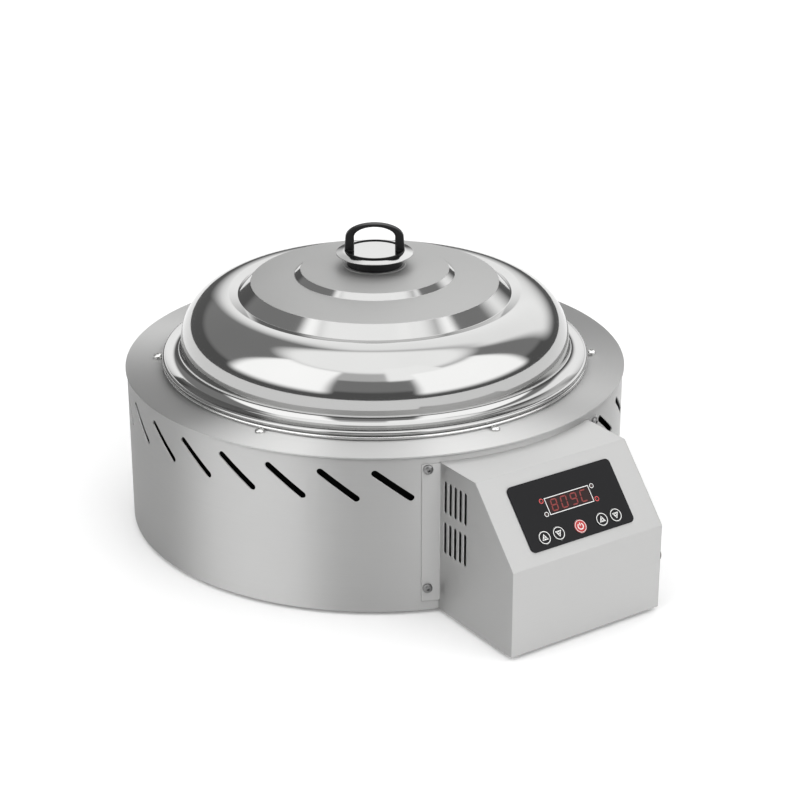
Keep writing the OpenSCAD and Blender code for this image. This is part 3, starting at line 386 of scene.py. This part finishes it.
def bars(ends, width, gap):
    """Six-cornered bars of height 1 between pairs of points, pointed at both ends and a gap short of them."""
    ends = np.asarray(ends, float)
    along = unit(ends[:, 1] - ends[:, 0])
    side = np.stack([-along[:, 1], along[:, 0]], -1) * width / 2
    tip = along * width / 2
    start, stop = ends[:, 0] + along * gap, ends[:, 1] - along * gap
    lower, upper = (start + tip - side, stop - tip - side), (stop - tip + side, start + tip + side)
    outline = np.stack([start, *lower, stop, *upper], 1)
    points = np.concatenate([np.insert(outline, 2, height, -1) for height in (0, 1)], 1).reshape(-1, 3)
    first = 12 * np.arange(len(ends))[:, None]
    k = np.arange(6)
    sides = np.stack([k, (k + 1) % 6, (k + 1) % 6 + 6, k + 6], -1)
    quads = (first[:, :, None] + sides[None]).reshape(-1, 4)
    return points, quads.tolist() + (first + k + 6).tolist() + (first + k[::-1]).tolist()


def circle(middle, radius, start=0.0, stop=360.0, steps=48):
    """Points round a middle, from one angle to another; a whole turn leaves out its last point."""
    a = np.radians(np.linspace(start, stop, steps, endpoint=stop - start < 360))
    return np.asarray(middle) + radius * np.stack([np.cos(a), np.sin(a)], -1)


def joined(shapes):
    """Several shapes as one: the faces of each are moved on by the points before it."""
    starts = np.cumsum([0] + [len(points) for points, _ in shapes])
    faces = [[start + k for k in face] for start, (_, rows) in zip(starts, shapes) for face in rows]
    return np.vstack([points for points, _ in shapes]), faces


def arrow_sign(panel, spot, points_up):
    """The sign of an arrow key: a triangle that points up for 1 and down for -1, with a small ring inside."""
    middle = spot + (0, -panel.arrow_drop * points_up)
    triangle = middle + circle((0, 0), panel.arrow, 90, 450, 3) * (1, points_up)
    dot = middle + circle((0, 0), panel.dot, steps=24)
    return [ribbon(triangle, panel.thin_line, True), ribbon(dot, panel.dot_line, True)]


def power_sign(panel, spot):
    """The sign of the power key: an arc that leaves an opening at its top, and a stem in the opening."""
    half_opening = 35
    arc = circle(spot, panel.power_arc, 90 + half_opening, 450 - half_opening, 40)
    stem = spot + np.array([(0, panel.stem_low), (0, panel.stem_high)])
    return [ribbon(arc, panel.power_line, False), ribbon(stem, panel.power_line, False)]


def on_panel(panel, shape, height):
    """Lays a flat shape on the sloping panel: across, down from the bend as a minus, and out from it."""
    points, faces = shape
    c, s = math.cos(panel.slope), math.sin(panel.slope)
    across, up, out = points[:, 0], points[:, 1], height + points[:, 2] * panel.ink
    y = AXIS[1] - panel.bend_out + up * c - out * s
    z = panel.bend_height + up * s + out * c
    return np.stack([across, y, z], -1), faces


def add_piece(name, shape, material, body, replaced=(), smooth=True):
    """Makes a shape a piece that rides on a body. Its faces are turned if its volume comes out negative; each
    triangle adds the triple product of its corners, and a face of four has two triangles."""
    points, faces = shape
    halves = [face[:3] for face in faces] + [[face[0], *face[2:]] for face in faces if len(face) == 4]
    a, b, c = points[np.array(halves)].swapaxes(0, 1)
    mesh = bpy.data.meshes.new(name)
    mesh.from_pydata(points.tolist(), [], faces)
    if (a * np.cross(b, c)).sum() < 0:
        mesh.flip_normals()
    mesh.polygons.foreach_set("use_smooth", np.full(len(mesh.polygons), smooth))
    mesh.materials.append(material)
    if mesh.validate():
        raise RuntimeError("the mesh of " + name + " has faults")
    piece = bpy.data.objects.new(name, mesh)
    bpy.context.scene.collection.objects.link(piece)
    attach(piece, body)
    if replaced:
        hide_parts(*replaced)
    return piece


def dress(material, *names):
    """Gives CAD nodes a finish."""
    for name in names:
        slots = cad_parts[name].data.materials
        slots.clear()
        slots.append(material)


# Finishes

def feed(tree, node, inputs):
    """Sets inputs of a node; each is a number, a colour or the output socket that feeds it."""
    for key, value in inputs.items():
        if isinstance(value, bpy.types.NodeSocket):
            tree.links.new(value, node.inputs[key])
        else:
            node.inputs[key].default_value = value


def put(tree, kind, inputs=None, **settings):
    """Adds a node with its settings and inputs."""
    node = tree.nodes.new("ShaderNode" + kind)
    for key, value in settings.items():
        setattr(node, key, value)
    feed(tree, node, inputs or {})
    return node


def new_finish(name):
    """An empty material, and its shader wired to the output."""
    material = bpy.data.materials.new(name)
    material.use_nodes = True
    tree = material.node_tree
    tree.nodes.clear()
    shader = put(tree, "BsdfPrincipled")
    put(tree, "OutputMaterial", {"Surface": shader.outputs["BSDF"]})
    return material, tree, shader


def math_node(tree, operation, a, b=0.0):
    return put(tree, "Math", {0: a, 1: b}, operation=operation).outputs[0]


def vector_node(tree, operation, a, b):
    return put(tree, "VectorMath", {0: a, 1: b}, operation=operation).outputs[0]


def spread(tree, value, low, high):
    """Brings a pattern from 0 to 1 into a range."""
    return put(tree, "MapRange", {"Value": value, "To Min": low, "To Max": high}).outputs["Result"]


def tinted(tree, value, shade, low, high):
    """A colour that a pattern darkens and lightens."""
    ends = [(*[min(c * k, 1.0) for c in shade], 1.0) for k in (low, high)]
    return put(tree, "Mix", {"Factor": value, "A": ends[0], "B": ends[1]}, data_type="RGBA").outputs["Result"]


def mixed(tree, factor, a, b):
    """One vector or the other by a factor."""
    return put(tree, "Mix", {"Factor": factor, "A": a, "B": b}, data_type="VECTOR").outputs["Result"]


def own_place(tree):
    return put(tree, "TexCoord").outputs["Object"]


def from_axis(tree):
    """Object coordinates measured from the drum's axis."""
    return vector_node(tree, "SUBTRACT", own_place(tree), (*AXIS, 0.0))


def axis_distance(tree, place):
    """How far a place lies from the drum's axis, whatever its height."""
    flat = vector_node(tree, "MULTIPLY", place, (1.0, 1.0, 0.0))
    return put(tree, "VectorMath", {0: flat}, operation="LENGTH").outputs["Value"]


def round_grain(tree, run, pitch):
    """Coordinates for a grain that runs round the drum, and the direction of that grain. The angle starts at
    the back, so the pattern's seam lies there; a run is the length of a line at 0.25 m from the axis."""
    place = from_axis(tree)
    part = put(tree, "SeparateXYZ", {0: place}).outputs
    turn = math_node(tree, "ARCTAN2", part["X"], math_node(tree, "MULTIPLY", part["Y"], -1.0))
    grain = put(tree, "CombineXYZ", {
        "X": math_node(tree, "MULTIPLY", turn, 0.25 / run),
        "Y": math_node(tree, "DIVIDE", part["Z"], pitch),
        "Z": math_node(tree, "DIVIDE", axis_distance(tree, place), pitch),
    }).outputs[0]
    return grain, vector_node(tree, "CROSS_PRODUCT", (0.0, 0.0, 1.0), place)


def straight_grain(tree, run, pitch):
    """Coordinates and direction of a grain that runs across the box, and front to back on its side walls."""
    place = own_place(tree)
    face = put(tree, "SeparateXYZ", {0: put(tree, "NewGeometry").outputs["True Normal"]}).outputs["X"]
    wall = math_node(tree, "GREATER_THAN", math_node(tree, "ABSOLUTE", face), 0.7)
    stretch = mixed(tree, wall, (1 / run, 1 / pitch, 1 / pitch), (1 / pitch, 1 / run, 1 / pitch))
    grain = vector_node(tree, "MULTIPLY", place, stretch)
    return grain, mixed(tree, wall, (1.0, 0.0, 0.0), (0.0, 1.0, 0.0))


def faded(tree, offset, half, edge):
    """1 within half degrees of the middle, and 0 past the edge beyond that."""
    inputs = {
        "Value": math_node(tree, "ABSOLUTE", offset), "From Min": math.radians(half + edge),
        "From Max": math.radians(half),
    }
    return put(tree, "MapRange", inputs, interpolation_type="SMOOTHSTEP").outputs["Result"]


def noise(tree, vector, scale, detail=4.0, roughness=0.6):
    inputs = {"Vector": vector, "Scale": scale, "Detail": detail, "Roughness": roughness}
    return put(tree, "TexNoise", inputs).outputs["Fac"]


def blend(tree, a, b, share):
    """Two patterns added, the second with its share of the whole."""
    part = math_node(tree, "MULTIPLY", a, 1 - share)
    return math_node(tree, "ADD", part, math_node(tree, "MULTIPLY", b, share))


def brushed_steel(name, shade, rough, anisotropy, grain_of, run=0.12, pitch=0.0006, edge=0.0):
    """Satin sheet: fine lines along the grain lift and lower its gloss and its surface, and stretch its gloss
    across them; a broad cloud dulls it in places, and an edge radius catches the light at the folds."""
    material, tree, shader = new_finish(name)
    grain, along = grain_of(tree, run, pitch)
    lines = noise(tree, grain, 1.0)
    cloud = noise(tree, own_place(tree), 9.0, 3.0)
    both = blend(tree, lines, cloud, 0.4)
    bump = put(tree, "Bump", {"Strength": 0.06, "Distance": 0.0002, "Height": lines})
    if edge:
        feed(tree, bump, {"Normal": put(tree, "Bevel", {"Radius": edge}, samples=6).outputs["Normal"]})
    normal = put(tree, "NewGeometry").outputs["Normal"]
    feed(tree, shader, {
        "Base Color": tinted(tree, both, shade, 0.93, 1.05),
        "Roughness": spread(tree, both, rough - 0.06, rough + 0.06),
        "Normal": bump.outputs["Normal"],
        "Tangent": vector_node(tree, "CROSS_PRODUCT", along, normal),
        "Metallic": 1.0,
        "Anisotropic": anisotropy,
    })
    return material


def rings(tree, zones, edge):
    """1 on the rings between pairs of radii round the drum's axis, and 0 off them, over a soft edge."""
    radius = axis_distance(tree, from_axis(tree))
    total = 0.0
    for inner, outer in zones:
        middle, half = (inner + outer) / 2, (outer - inner) / 2
        off = math_node(tree, "ABSOLUTE", math_node(tree, "SUBTRACT", radius, middle))
        on = put(tree, "MapRange", {"Value": off, "From Min": half + edge, "From Max": half})
        total = math_node(tree, "MAXIMUM", on.outputs["Result"], total)
    return total


def polished_steel(name, shade, rough, satin=0.0, zones=()):
    """Mirror polish: hairlines of the buffing wheel run round the axis, and faint smears dull it in places.
    On the rings that are only satin, the roughness rises by that much."""
    material, tree, shader = new_finish(name)
    grain, _ = round_grain(tree, 0.05, 0.0008)
    lines = noise(tree, grain, 1.0, 5.0)
    smears = noise(tree, own_place(tree), 14.0, 3.0, 0.5)
    both = math_node(tree, "MULTIPLY", lines, smears)
    bump = put(tree, "Bump", {"Strength": 0.02, "Distance": 0.0001, "Height": lines})
    gloss = spread(tree, both, rough * 0.6, rough * 2.2)
    if zones:
        dull = math_node(tree, "MULTIPLY", rings(tree, zones, 0.0006), satin)
        gloss = math_node(tree, "ADD", gloss, dull)
    feed(tree, shader, {
        "Base Color": tinted(tree, smears, shade, 0.96, 1.03),
        "Roughness": gloss,
        "Normal": bump.outputs["Normal"],
        "Metallic": 1.0,
    })
    return material


def grained(name, shade, rough, scale, bump=0.1, metal=0.0, contrast=0.12, coat=0.0, gloss=0.5):
    """A moulded, cast or woven surface: one noise tints it, varies its gloss and gives it a fine texture, and
    a second, broader one wears it unevenly."""
    material, tree, shader = new_finish(name)
    place = own_place(tree)
    fine = noise(tree, place, scale, 5.0)
    broad = noise(tree, place, scale / 25, 2.0)
    both = blend(tree, fine, broad, 0.5)
    relief = put(tree, "Bump", {"Strength": bump, "Distance": 0.0003, "Height": fine})
    feed(tree, shader, {
        "Base Color": tinted(tree, both, shade, 1 - contrast, 1 + contrast),
        "Roughness": spread(tree, both, max(rough - 0.08, 0.02), min(rough + 0.08, 1.0)),
        "Normal": relief.outputs["Normal"],
        "Metallic": metal,
        "Coat Weight": coat,
        "Specular IOR Level": gloss,
    })
    return material


def plain_metal(name, shade, rough):
    """Screws, nuts and other small metal parts, with a faint, fine texture."""
    return grained(name, shade, rough, 900.0, 0.05, metal=1.0)


def glowing(name, shade, strength):
    """Lit bars behind tinted film: a fine mesh pattern breaks the light up a little."""
    material, tree, shader = new_finish(name)
    grain = noise(tree, own_place(tree), 2500.0, 2.0)
    lit = tinted(tree, grain, shade, 0.75, 1.1)
    feed(tree, shader, {
        "Base Color": lit, "Emission Color": lit, "Emission Strength": strength, "Roughness": 0.35,
    })
    return material


# Operators

class STEAMER_OT_drum(bpy.types.Operator):
    """Gives the drum, its top plate and the control box their brushed finish"""

    bl_idname = "steamer.drum"
    bl_label = "Finish drum and box"

    def execute(self, context):
        shades = context.scene.steamer_colours
        dress(brushed_steel("drum_sheet", shades.satin, 0.62, 1.0, round_grain), "drum_wall")
        plate = brushed_steel("top_plate_sheet", shades.satin, 0.60, 1.0, round_grain, 0.08, edge=0.0005)
        dress(plate, "top_plate")
        # Painted shade: the control box gets the darker copy of the satin steel, standing for the darker
        # reflections on its walls.
        box = brushed_steel("box_sheet_painted_shade", shades.box, 0.50, 0.9, straight_grain, edge=0.0012)
        dress(box, "control_box_shell", "control_box_bottom")
        screws = plain_metal("screw_steel", (0.74, 0.74, 0.73), 0.24)
        dress(screws, "top_plate_screws", "base_screws", "foot_screws", "foot_nuts", "box_bottom_screws")
        dress(plain_metal("dark_screw_steel", (0.24, 0.24, 0.24), 0.32), "flange_screws")
        return {"FINISHED"}


class STEAMER_OT_underside(bpy.types.Operator):
    """Gives the base, the feet and the cord gland their finish"""

    bl_idname = "steamer.underside"
    bl_label = "Finish underside"

    def execute(self, context):
        shades = context.scene.steamer_colours
        dress(brushed_steel("base_sheet", shades.inner, 0.45, 0.3, straight_grain), "base_plate")
        dress(grained("foot_rubber", (0.022, 0.022, 0.023), 0.75, 700.0, 0.3), "rubber_feet")
        dress(grained("gland_nylon", (0.03, 0.03, 0.031), 0.45, 1200.0, 0.15), "cord_gland", "gland_nut")
        return {"FINISHED"}


class STEAMER_OT_heating(bpy.types.Operator):
    """Gives the lining, the elements and their fittings their finish"""

    bl_idname = "steamer.heating"
    bl_label = "Finish heating"

    def execute(self, context):
        shades = context.scene.steamer_colours
        lining = brushed_steel("lining_sheet", shades.inner, 0.38, 0.5, round_grain)
        dress(lining, "collar_ring", "heat_shield", "reflector_tray", "probe_bracket", "element_clips")
        dress(grained("ceramic_fibre", (0.78, 0.74, 0.66), 0.95, 260.0, 0.8), "base_insulation")
        dress(grained("glass_cloth", (0.012, 0.012, 0.012), 0.9, 700.0, 0.6, gloss=0.1), "insulation_ring")
        sheath = grained("element_sheath", (0.16, 0.17, 0.18), 0.42, 800.0, 0.15, metal=1.0, contrast=0.3)
        dress(sheath, "outer_element", "inner_element")
        dress(grained("ceramic", (0.82, 0.79, 0.72), 0.35, 500.0, 0.05, coat=0.3), "terminal_bushes")
        dress(plain_metal("brass", (0.72, 0.52, 0.24), 0.32), "terminal_nuts", "temperature_probe")
        dress(plain_metal("inner_screws", (0.60, 0.60, 0.59), 0.30), "tray_posts", "tray_screws")
        return {"FINISHED"}


class STEAMER_OT_electrics(bpy.types.Operator):
    """Gives the boards and the parts inside the control box their finish"""

    bl_idname = "steamer.electrics"
    bl_label = "Finish electrics"

    def execute(self, context):
        board = grained("circuit_board", (0.02, 0.16, 0.06), 0.35, 420.0, 0.2, contrast=0.3)
        dress(board, "control_board", "power_board")
        dress(plain_metal("board_hardware", (0.62, 0.60, 0.55), 0.3), "board_standoffs", "board_screws")
        dress(grained("switch_body", (0.03, 0.03, 0.032), 0.5, 1500.0), "tact_switches", "terminal_block")
        core = grained("transformer_core", (0.20, 0.17, 0.13), 0.5, 600.0, 0.4, metal=0.4, contrast=0.3)
        dress(core, "transformer")
        dress(grained("relay_case", (0.03, 0.12, 0.42), 0.35, 800.0), "power_relays")
        dress(grained("lead_sheath", (0.75, 0.72, 0.64), 0.7, 1600.0, 0.5), "heater_leads")
        dress(grained("display_block", (0.045, 0.042, 0.042), 0.5, 900.0), "display_module")
        return {"FINISHED"}


class STEAMER_OT_pan(bpy.types.Operator):
    """Turns the pan with its rolled rim, and finishes the steam rack"""

    bl_idname = "steamer.pan"
    bl_label = "Pan and rack"

    def execute(self, context):
        pan, shades = context.scene.steamer_pan, context.scene.steamer_colours
        rim = PAN_HIGH.x - AXIS[0]
        floor, ledge = PAN_LOW.z + pan.sheet, PAN_HIGH.z - pan.proud
        wall = rim - pan.lap - pan.sheet
        corners = [(0, floor), (wall, floor), (wall, ledge), (rim - pan.bead, ledge)]
        section = rolled_section(corners, [pan.corner, pan.lap_bend], pan.sheet, pan.bead, pan.proud, 18)
        steel = brushed_steel("pan_sheet", shades.satin, 0.22, 0.5, round_grain, 0.05)
        add_piece("pan_turned", lathe(section, 0.0, 240), steel, "pan", ["pan"])
        rack = brushed_steel("rack_sheet", shades.satin, 0.30, 0.5, round_grain, 0.05)
        dress(rack, "steam_rack", "rack_legs")
        return {"FINISHED"}


class STEAMER_OT_lid(bpy.types.Operator):
    """Turns the mirror-polished lid with its two raised steps and rolled brim"""

    bl_idname = "steamer.lid"
    bl_label = "Lid"

    def execute(self, context):
        lid, shades = context.scene.steamer_lid, context.scene.steamer_colours
        rim = LID_HIGH.x - AXIS[0]
        brim_top = 2 * lid.bead - lid.proud
        wall = rim - lid.brim
        crown = wall - lid.shoulder - lid.crest
        outer_foot = (crown - lid.ledge, lid.dome - lid.ledge_drop)
        outer_head = (outer_foot[0] - lid.outer_run, outer_foot[1] + lid.outer_rise)
        inner_foot = (outer_head[0] - lid.band_run, outer_head[1] + lid.band_rise)
        inner_head = (inner_foot[0] - lid.inner_run, inner_foot[1] + lid.inner_rise)
        cap_edge = (lid.boss, inner_head[1] + lid.cap_rise)
        top = cap_edge[1] + lid.boss_rise
        cap, cap_radius = bow_between(cap_edge, inner_head, lid.cap_bow)
        band, band_radius = bow_between(inner_foot, outer_head, lid.band_bow)
        rounded = [
            ((lid.boss - lid.boss_rise, top), lid.crease / 2), (cap_edge, lid.crease / 2), (cap, cap_radius),
            (inner_head, lid.crease), (inner_foot, lid.crease), (band, band_radius),
            (outer_head, lid.crease), (outer_foot, lid.crease), ((crown, lid.dome), lid.crest_bend),
            ((wall, lid.dome), lid.shoulder), ((wall, brim_top), lid.brim_bend),
        ]
        corners = [(0, top)] + [corner for corner, _ in rounded] + [(rim - lid.bead, brim_top)]
        section = rolled_section(corners, [r for _, r in rounded], lid.sheet, lid.bead, lid.proud, 14)
        satin_rings = [(-inner_head[0], inner_head[0]), (inner_foot[0], outer_head[0])]
        steel = polished_steel("lid_polish", shades.mirror, 0.07, 0.55, satin_rings)
        shape = lathe(section, LID_LOW.z, 240)
        add_piece("lid_turned", shape, steel, "lid", ["lid_shell"])
        return {"FINISHED"}


class STEAMER_OT_handle(bpy.types.Operator):
    """Makes the moulded loop, the polished plate under it, and the finish of its neck and screws"""

    bl_idname = "steamer.handle"
    bl_label = "Handle"

    def execute(self, context):
        handle, shades = context.scene.steamer_handle, context.scene.steamer_colours
        moulding = grained("handle_moulding", shades.moulding, 0.30, 900.0, 0.04, gloss=0.22)
        loop = joined([handle_loop(handle, HANDLE_HIGH.z - HANDLE_LOW.z), foot_ring(handle)])
        add_piece("handle_loop", loop, moulding, "lid", ["lid_handle"])
        dress(moulding, "handle_neck")
        radius, thick = PLATE_HIGH.x - AXIS[0], PLATE_HIGH.z - PLATE_LOW.z
        corners = [(0, thick), (handle.width / 2, thick), (radius, handle.plate_rim), (radius, 0), (0, 0)]
        section = filleted(corners, [handle.plate_bend, handle.plate_rim / 2, handle.plate_rim / 3], 8)
        # Painted light: the plate's polish is lighter than the lid's, standing for its brighter reflection.
        steel = polished_steel("plate_polish_painted_light", shades.plate, 0.05)
        shape = lathe(section, PLATE_LOW.z, 96)
        add_piece("plate_turned", shape, steel, "lid", ["handle_plate"])
        screws = plain_metal("handle_screw_steel", (0.68, 0.68, 0.67), 0.25)
        dress(screws, "handle_screws", "handle_washers")
        return {"FINISHED"}


class STEAMER_OT_panel(bpy.types.Operator):
    """Finishes the overlay and prints the display's frame and the rings round the lamps"""

    bl_idname = "steamer.panel"
    bl_label = "Panel"

    def execute(self, context):
        panel, shades = context.scene.steamer_panel, context.scene.steamer_colours
        dress(grained("overlay_film", shades.overlay, 0.42, 1400.0, 0.12, gloss=0.15), "control_overlay")
        dress(grained("window_film", (0.018, 0.005, 0.005), 0.30, 900.0, 0.02, gloss=0.2), "display_window")
        dress(grained("lamp_lens", (0.05, 0.012, 0.012), 0.18, 600.0, 0.02, coat=0.5), "indicator_lamps")
        white = grained("white_print", shades.ink, 0.5, 2200.0, 0.1, contrast=0.06)
        red = grained("red_print", (0.80, 0.10, 0.10), 0.5, 2200.0, 0.1)
        half = np.array([panel.display_width, panel.display_height]) / 2 + panel.line / 2
        frame_line = (0, -panel.display_row) + half * np.array([(-1, -1), (1, -1), (1, 1), (-1, 1)])
        rows = -panel.display_row + panel.lamp_pitch / 2 * np.array([1, -1])
        places = [(x, y) for x in (-panel.lamp_side, panel.lamp_side) for y in rows]
        lamps = [ribbon(circle(place, panel.lamp_ring), panel.thin_line, True) for place in places]
        frame_print = ribbon(frame_line, panel.line, True)
        prints = {"white": (white, [frame_print, lamps[1], lamps[2]]), "red": (red, [lamps[0], lamps[3]])}
        for name, (ink, shapes) in prints.items():
            shape = on_panel(panel, joined(shapes), panel.overlay)
            add_piece("panel_print_" + name, shape, ink, "base", smooth=False)
        return {"FINISHED"}


class STEAMER_OT_digits(bpy.types.Operator):
    """Lights the digits of the display"""

    bl_idname = "steamer.digits"
    bl_label = "Digits"

    def execute(self, context):
        panel, shades = context.scene.steamer_panel, context.scene.steamer_colours
        places = {
            "a": ((0, 1), (1, 1)), "b": ((1, 1), (1, 0.5)), "c": ((1, 0.5), (1, 0)), "d": ((1, 0), (0, 0)),
            "e": ((0, 0), (0, 0.5)), "f": ((0, 0.5), (0, 1)), "g": ((0, 0.5), (1, 0.5)),
        }
        shown = ["abcdefg", "abcdef", "abcdfg", "adef"]
        size = np.array([panel.digit_width, panel.digit_height])
        ends = [
            (np.array(places[bar]) - 0.5) * size + ((i - 1.5) * panel.digit_pitch, -panel.display_row)
            for i, bars_on in enumerate(shown) for bar in bars_on
        ]
        ends = np.array(ends)
        ends[..., 0] += panel.digit_slant * (ends[..., 1] + panel.display_row)
        shape = on_panel(panel, bars(ends, panel.bar, panel.bar_gap), panel.window)
        lit = glowing("lit_digits", shades.glow, 0.06)
        add_piece("display_digits", shape, lit, "base", smooth=False)
        return {"FINISHED"}


class STEAMER_OT_keys(bpy.types.Operator):
    """Finishes the five keys and prints a ring and a sign on each"""

    bl_idname = "steamer.keys"
    bl_label = "Keys"

    def execute(self, context):
        panel, shades = context.scene.steamer_panel, context.scene.steamer_colours
        black = grained("key_film", shades.overlay, 0.42, 1400.0, 0.12, gloss=0.15)
        red = grained("power_key_film", shades.red, 0.36, 1400.0, 0.12)
        white = grained("key_print", shades.ink, 0.5, 2200.0, 0.1, contrast=0.06)
        far = panel.key_side + panel.key_pitch
        spots = {"time_up": -far, "time_down": -panel.key_side, "temp_up": panel.key_side, "temp_down": far}
        ring = panel.key_radius - panel.line
        for key, across in spots.items():
            dress(black, "key_" + key)
            spot = np.array([across, -panel.key_row])
            sign = arrow_sign(panel, spot, 1 if key.endswith("up") else -1)
            rim = ribbon(circle(spot, ring), panel.line, True)
            shape = on_panel(panel, joined([rim, *sign]), panel.key_top)
            add_piece("mark_" + key, shape, white, key, smooth=False)
        dress(red, "key_power")
        spot = np.array([0, -panel.key_row])
        rim = ribbon(circle(spot, ring), panel.power_ring, True)
        shape = on_panel(panel, joined([rim, *power_sign(panel, spot)]), panel.key_top)
        add_piece("mark_power", shape, white, "power", smooth=False)
        return {"FINISHED"}


class STEAMER_OT_stage(bpy.types.Operator):
    """Sets the floor, the soft boxes and the camera"""

    bl_idname = "steamer.stage"
    bl_label = "Stage"

    def execute(self, context):
        stage = context.scene.steamer_stage
        self.add_floor(stage)
        self.light_room(context.scene, stage)
        self.aim_camera(context.scene, stage)
        context.scene.view_settings.view_transform = "Standard"
        return {"FINISHED"}

    def add_floor(self, stage):
        """A pale floor. What the camera, metal and glass see of it is lifted to white; shadows stay."""
        half = stage.floor_size / 2
        mesh = bpy.data.meshes.new("floor")
        corners = half * np.array([(-1, -1, 0), (1, -1, 0), (1, 1, 0), (-1, 1, 0)])
        mesh.from_pydata(corners.tolist(), [], [(0, 1, 2, 3)])
        material, tree, shader = new_finish("floor_paper")
        rays = put(tree, "LightPath").outputs
        seen = math_node(tree, "MAXIMUM", rays["Is Camera Ray"], rays["Is Glossy Ray"])
        seen = math_node(tree, "MAXIMUM", seen, rays["Is Transmission Ray"])
        feed(tree, shader, {
            "Emission Strength": math_node(tree, "MULTIPLY", seen, stage.floor_lift),
            "Emission Color": (1.0, 1.0, 1.0, 1.0),
            "Base Color": (0.86, 0.86, 0.86, 1.0),
            "Roughness": 1.0,
            "Specular IOR Level": 0.0,
        })
        mesh.materials.append(material)
        floor = bpy.data.objects.new("floor", mesh)
        bpy.context.scene.collection.objects.link(floor)

    def light_room(self, scene, stage):
        """A dim room with soft boxes. Each is full inside its width and height, counted as azimuth from the
        front and elevation, all in degrees, and fades out over its edge."""
        world = bpy.data.worlds.new("studio")
        world.use_nodes = True
        tree = world.node_tree
        tree.nodes.clear()
        towards = put(tree, "SeparateXYZ", {0: put(tree, "TexCoord").outputs["Generated"]}).outputs
        azimuth = math_node(tree, "ARCTAN2", towards["X"], math_node(tree, "MULTIPLY", towards["Y"], -1.0))
        elevation = math_node(tree, "ARCSINE", towards["Z"])
        boxes = [
            SoftBox(stage.left_box, -94, 54, 37, 40, 12), SoftBox(stage.right_box, 28, 64, 33, 40, 10),
            SoftBox(stage.top_box, 0, 360, 90, 50, 14), SoftBox(stage.front_box, 0, 46, 58, 26, 7),
            SoftBox(stage.fill_box, -42, 34, 58, 26, 7), SoftBox(stage.back_box, 126, 48, 36, 26, 20),
            SoftBox(stage.upper_room, 0, 360, 52, 60, 12),
        ]
        total = stage.room
        for box in boxes:
            beside = math_node(tree, "SUBTRACT", azimuth, math.radians(box.azimuth))
            beside = put(tree, "Math", {0: beside, 1: math.pi, 2: -math.pi}, operation="WRAP").outputs[0]
            above = math_node(tree, "SUBTRACT", elevation, math.radians(box.elevation))
            lit = math_node(tree, "MULTIPLY", faded(tree, beside, box.width / 2, box.edge),
                            faded(tree, above, box.height / 2, box.edge))
            total = math_node(tree, "MAXIMUM", math_node(tree, "MULTIPLY", lit, box.strength), total)
        light = put(tree, "Background", {"Color": (1.0, 1.0, 1.0, 1.0), "Strength": total})
        put(tree, "OutputWorld", {"Surface": light.outputs[0]})
        scene.world = world

    def aim_camera(self, scene, stage):
        """The camera looks along its azimuth and elevation at a point beside the drum's axis."""
        a, e = stage.azimuth, stage.elevation
        back = Vector((math.sin(a) * math.cos(e), -math.cos(a) * math.cos(e), math.sin(e)))
        right = Vector((math.cos(a), math.sin(a), 0.0))
        aim = Vector((*AXIS, stage.aim_height)) + right * stage.aim_side
        lens = bpy.data.cameras.new("camera")
        lens.lens = stage.lens
        lens.sensor_width = 36.0
        lens.clip_end = 2 * stage.floor_size
        camera = bpy.data.objects.new("camera", lens)
        camera.location = aim + back * stage.distance
        camera.rotation_euler = (-back).to_track_quat("-Z", "Y").to_euler()
        scene.collection.objects.link(camera)
        scene.camera = camera


class STEAMER_PT_build(bpy.types.Panel):
    """Lists the steps that build the steamer's looks"""

    bl_label = "Steamer"
    bl_idname = "STEAMER_PT_build"
    bl_space_type = "VIEW_3D"
    bl_region_type = "UI"
    bl_category = "Steamer"

    def draw(self, context):
        for operator in OPERATORS:
            self.layout.operator(operator.bl_idname)


GROUPS = {
    "steamer_lid": SteamerLid, "steamer_pan": SteamerPan, "steamer_handle": SteamerHandle,
    "steamer_panel": SteamerPanel, "steamer_colours": SteamerColours, "steamer_stage": SteamerStage,
}
OPERATORS = (
    STEAMER_OT_drum, STEAMER_OT_underside, STEAMER_OT_heating, STEAMER_OT_electrics, STEAMER_OT_pan,
    STEAMER_OT_lid, STEAMER_OT_handle, STEAMER_OT_panel, STEAMER_OT_digits, STEAMER_OT_keys, STEAMER_OT_stage,
)


def register():
    for name, group in GROUPS.items():
        bpy.utils.register_class(group)
        setattr(bpy.types.Scene, name, PointerProperty(type=group))
    for operator in OPERATORS:
        bpy.utils.register_class(operator)
    bpy.utils.register_class(STEAMER_PT_build)


def unregister():
    bpy.utils.unregister_class(STEAMER_PT_build)
    for operator in reversed(OPERATORS):
        bpy.utils.unregister_class(operator)
    for name, group in GROUPS.items():
        delattr(bpy.types.Scene, name)
        bpy.utils.unregister_class(group)


def main():
    register()
    for operator in OPERATORS:
        family, step = operator.bl_idname.split(".")
        getattr(getattr(bpy.ops, family), step)()


if __name__ == "__main__":
    main()
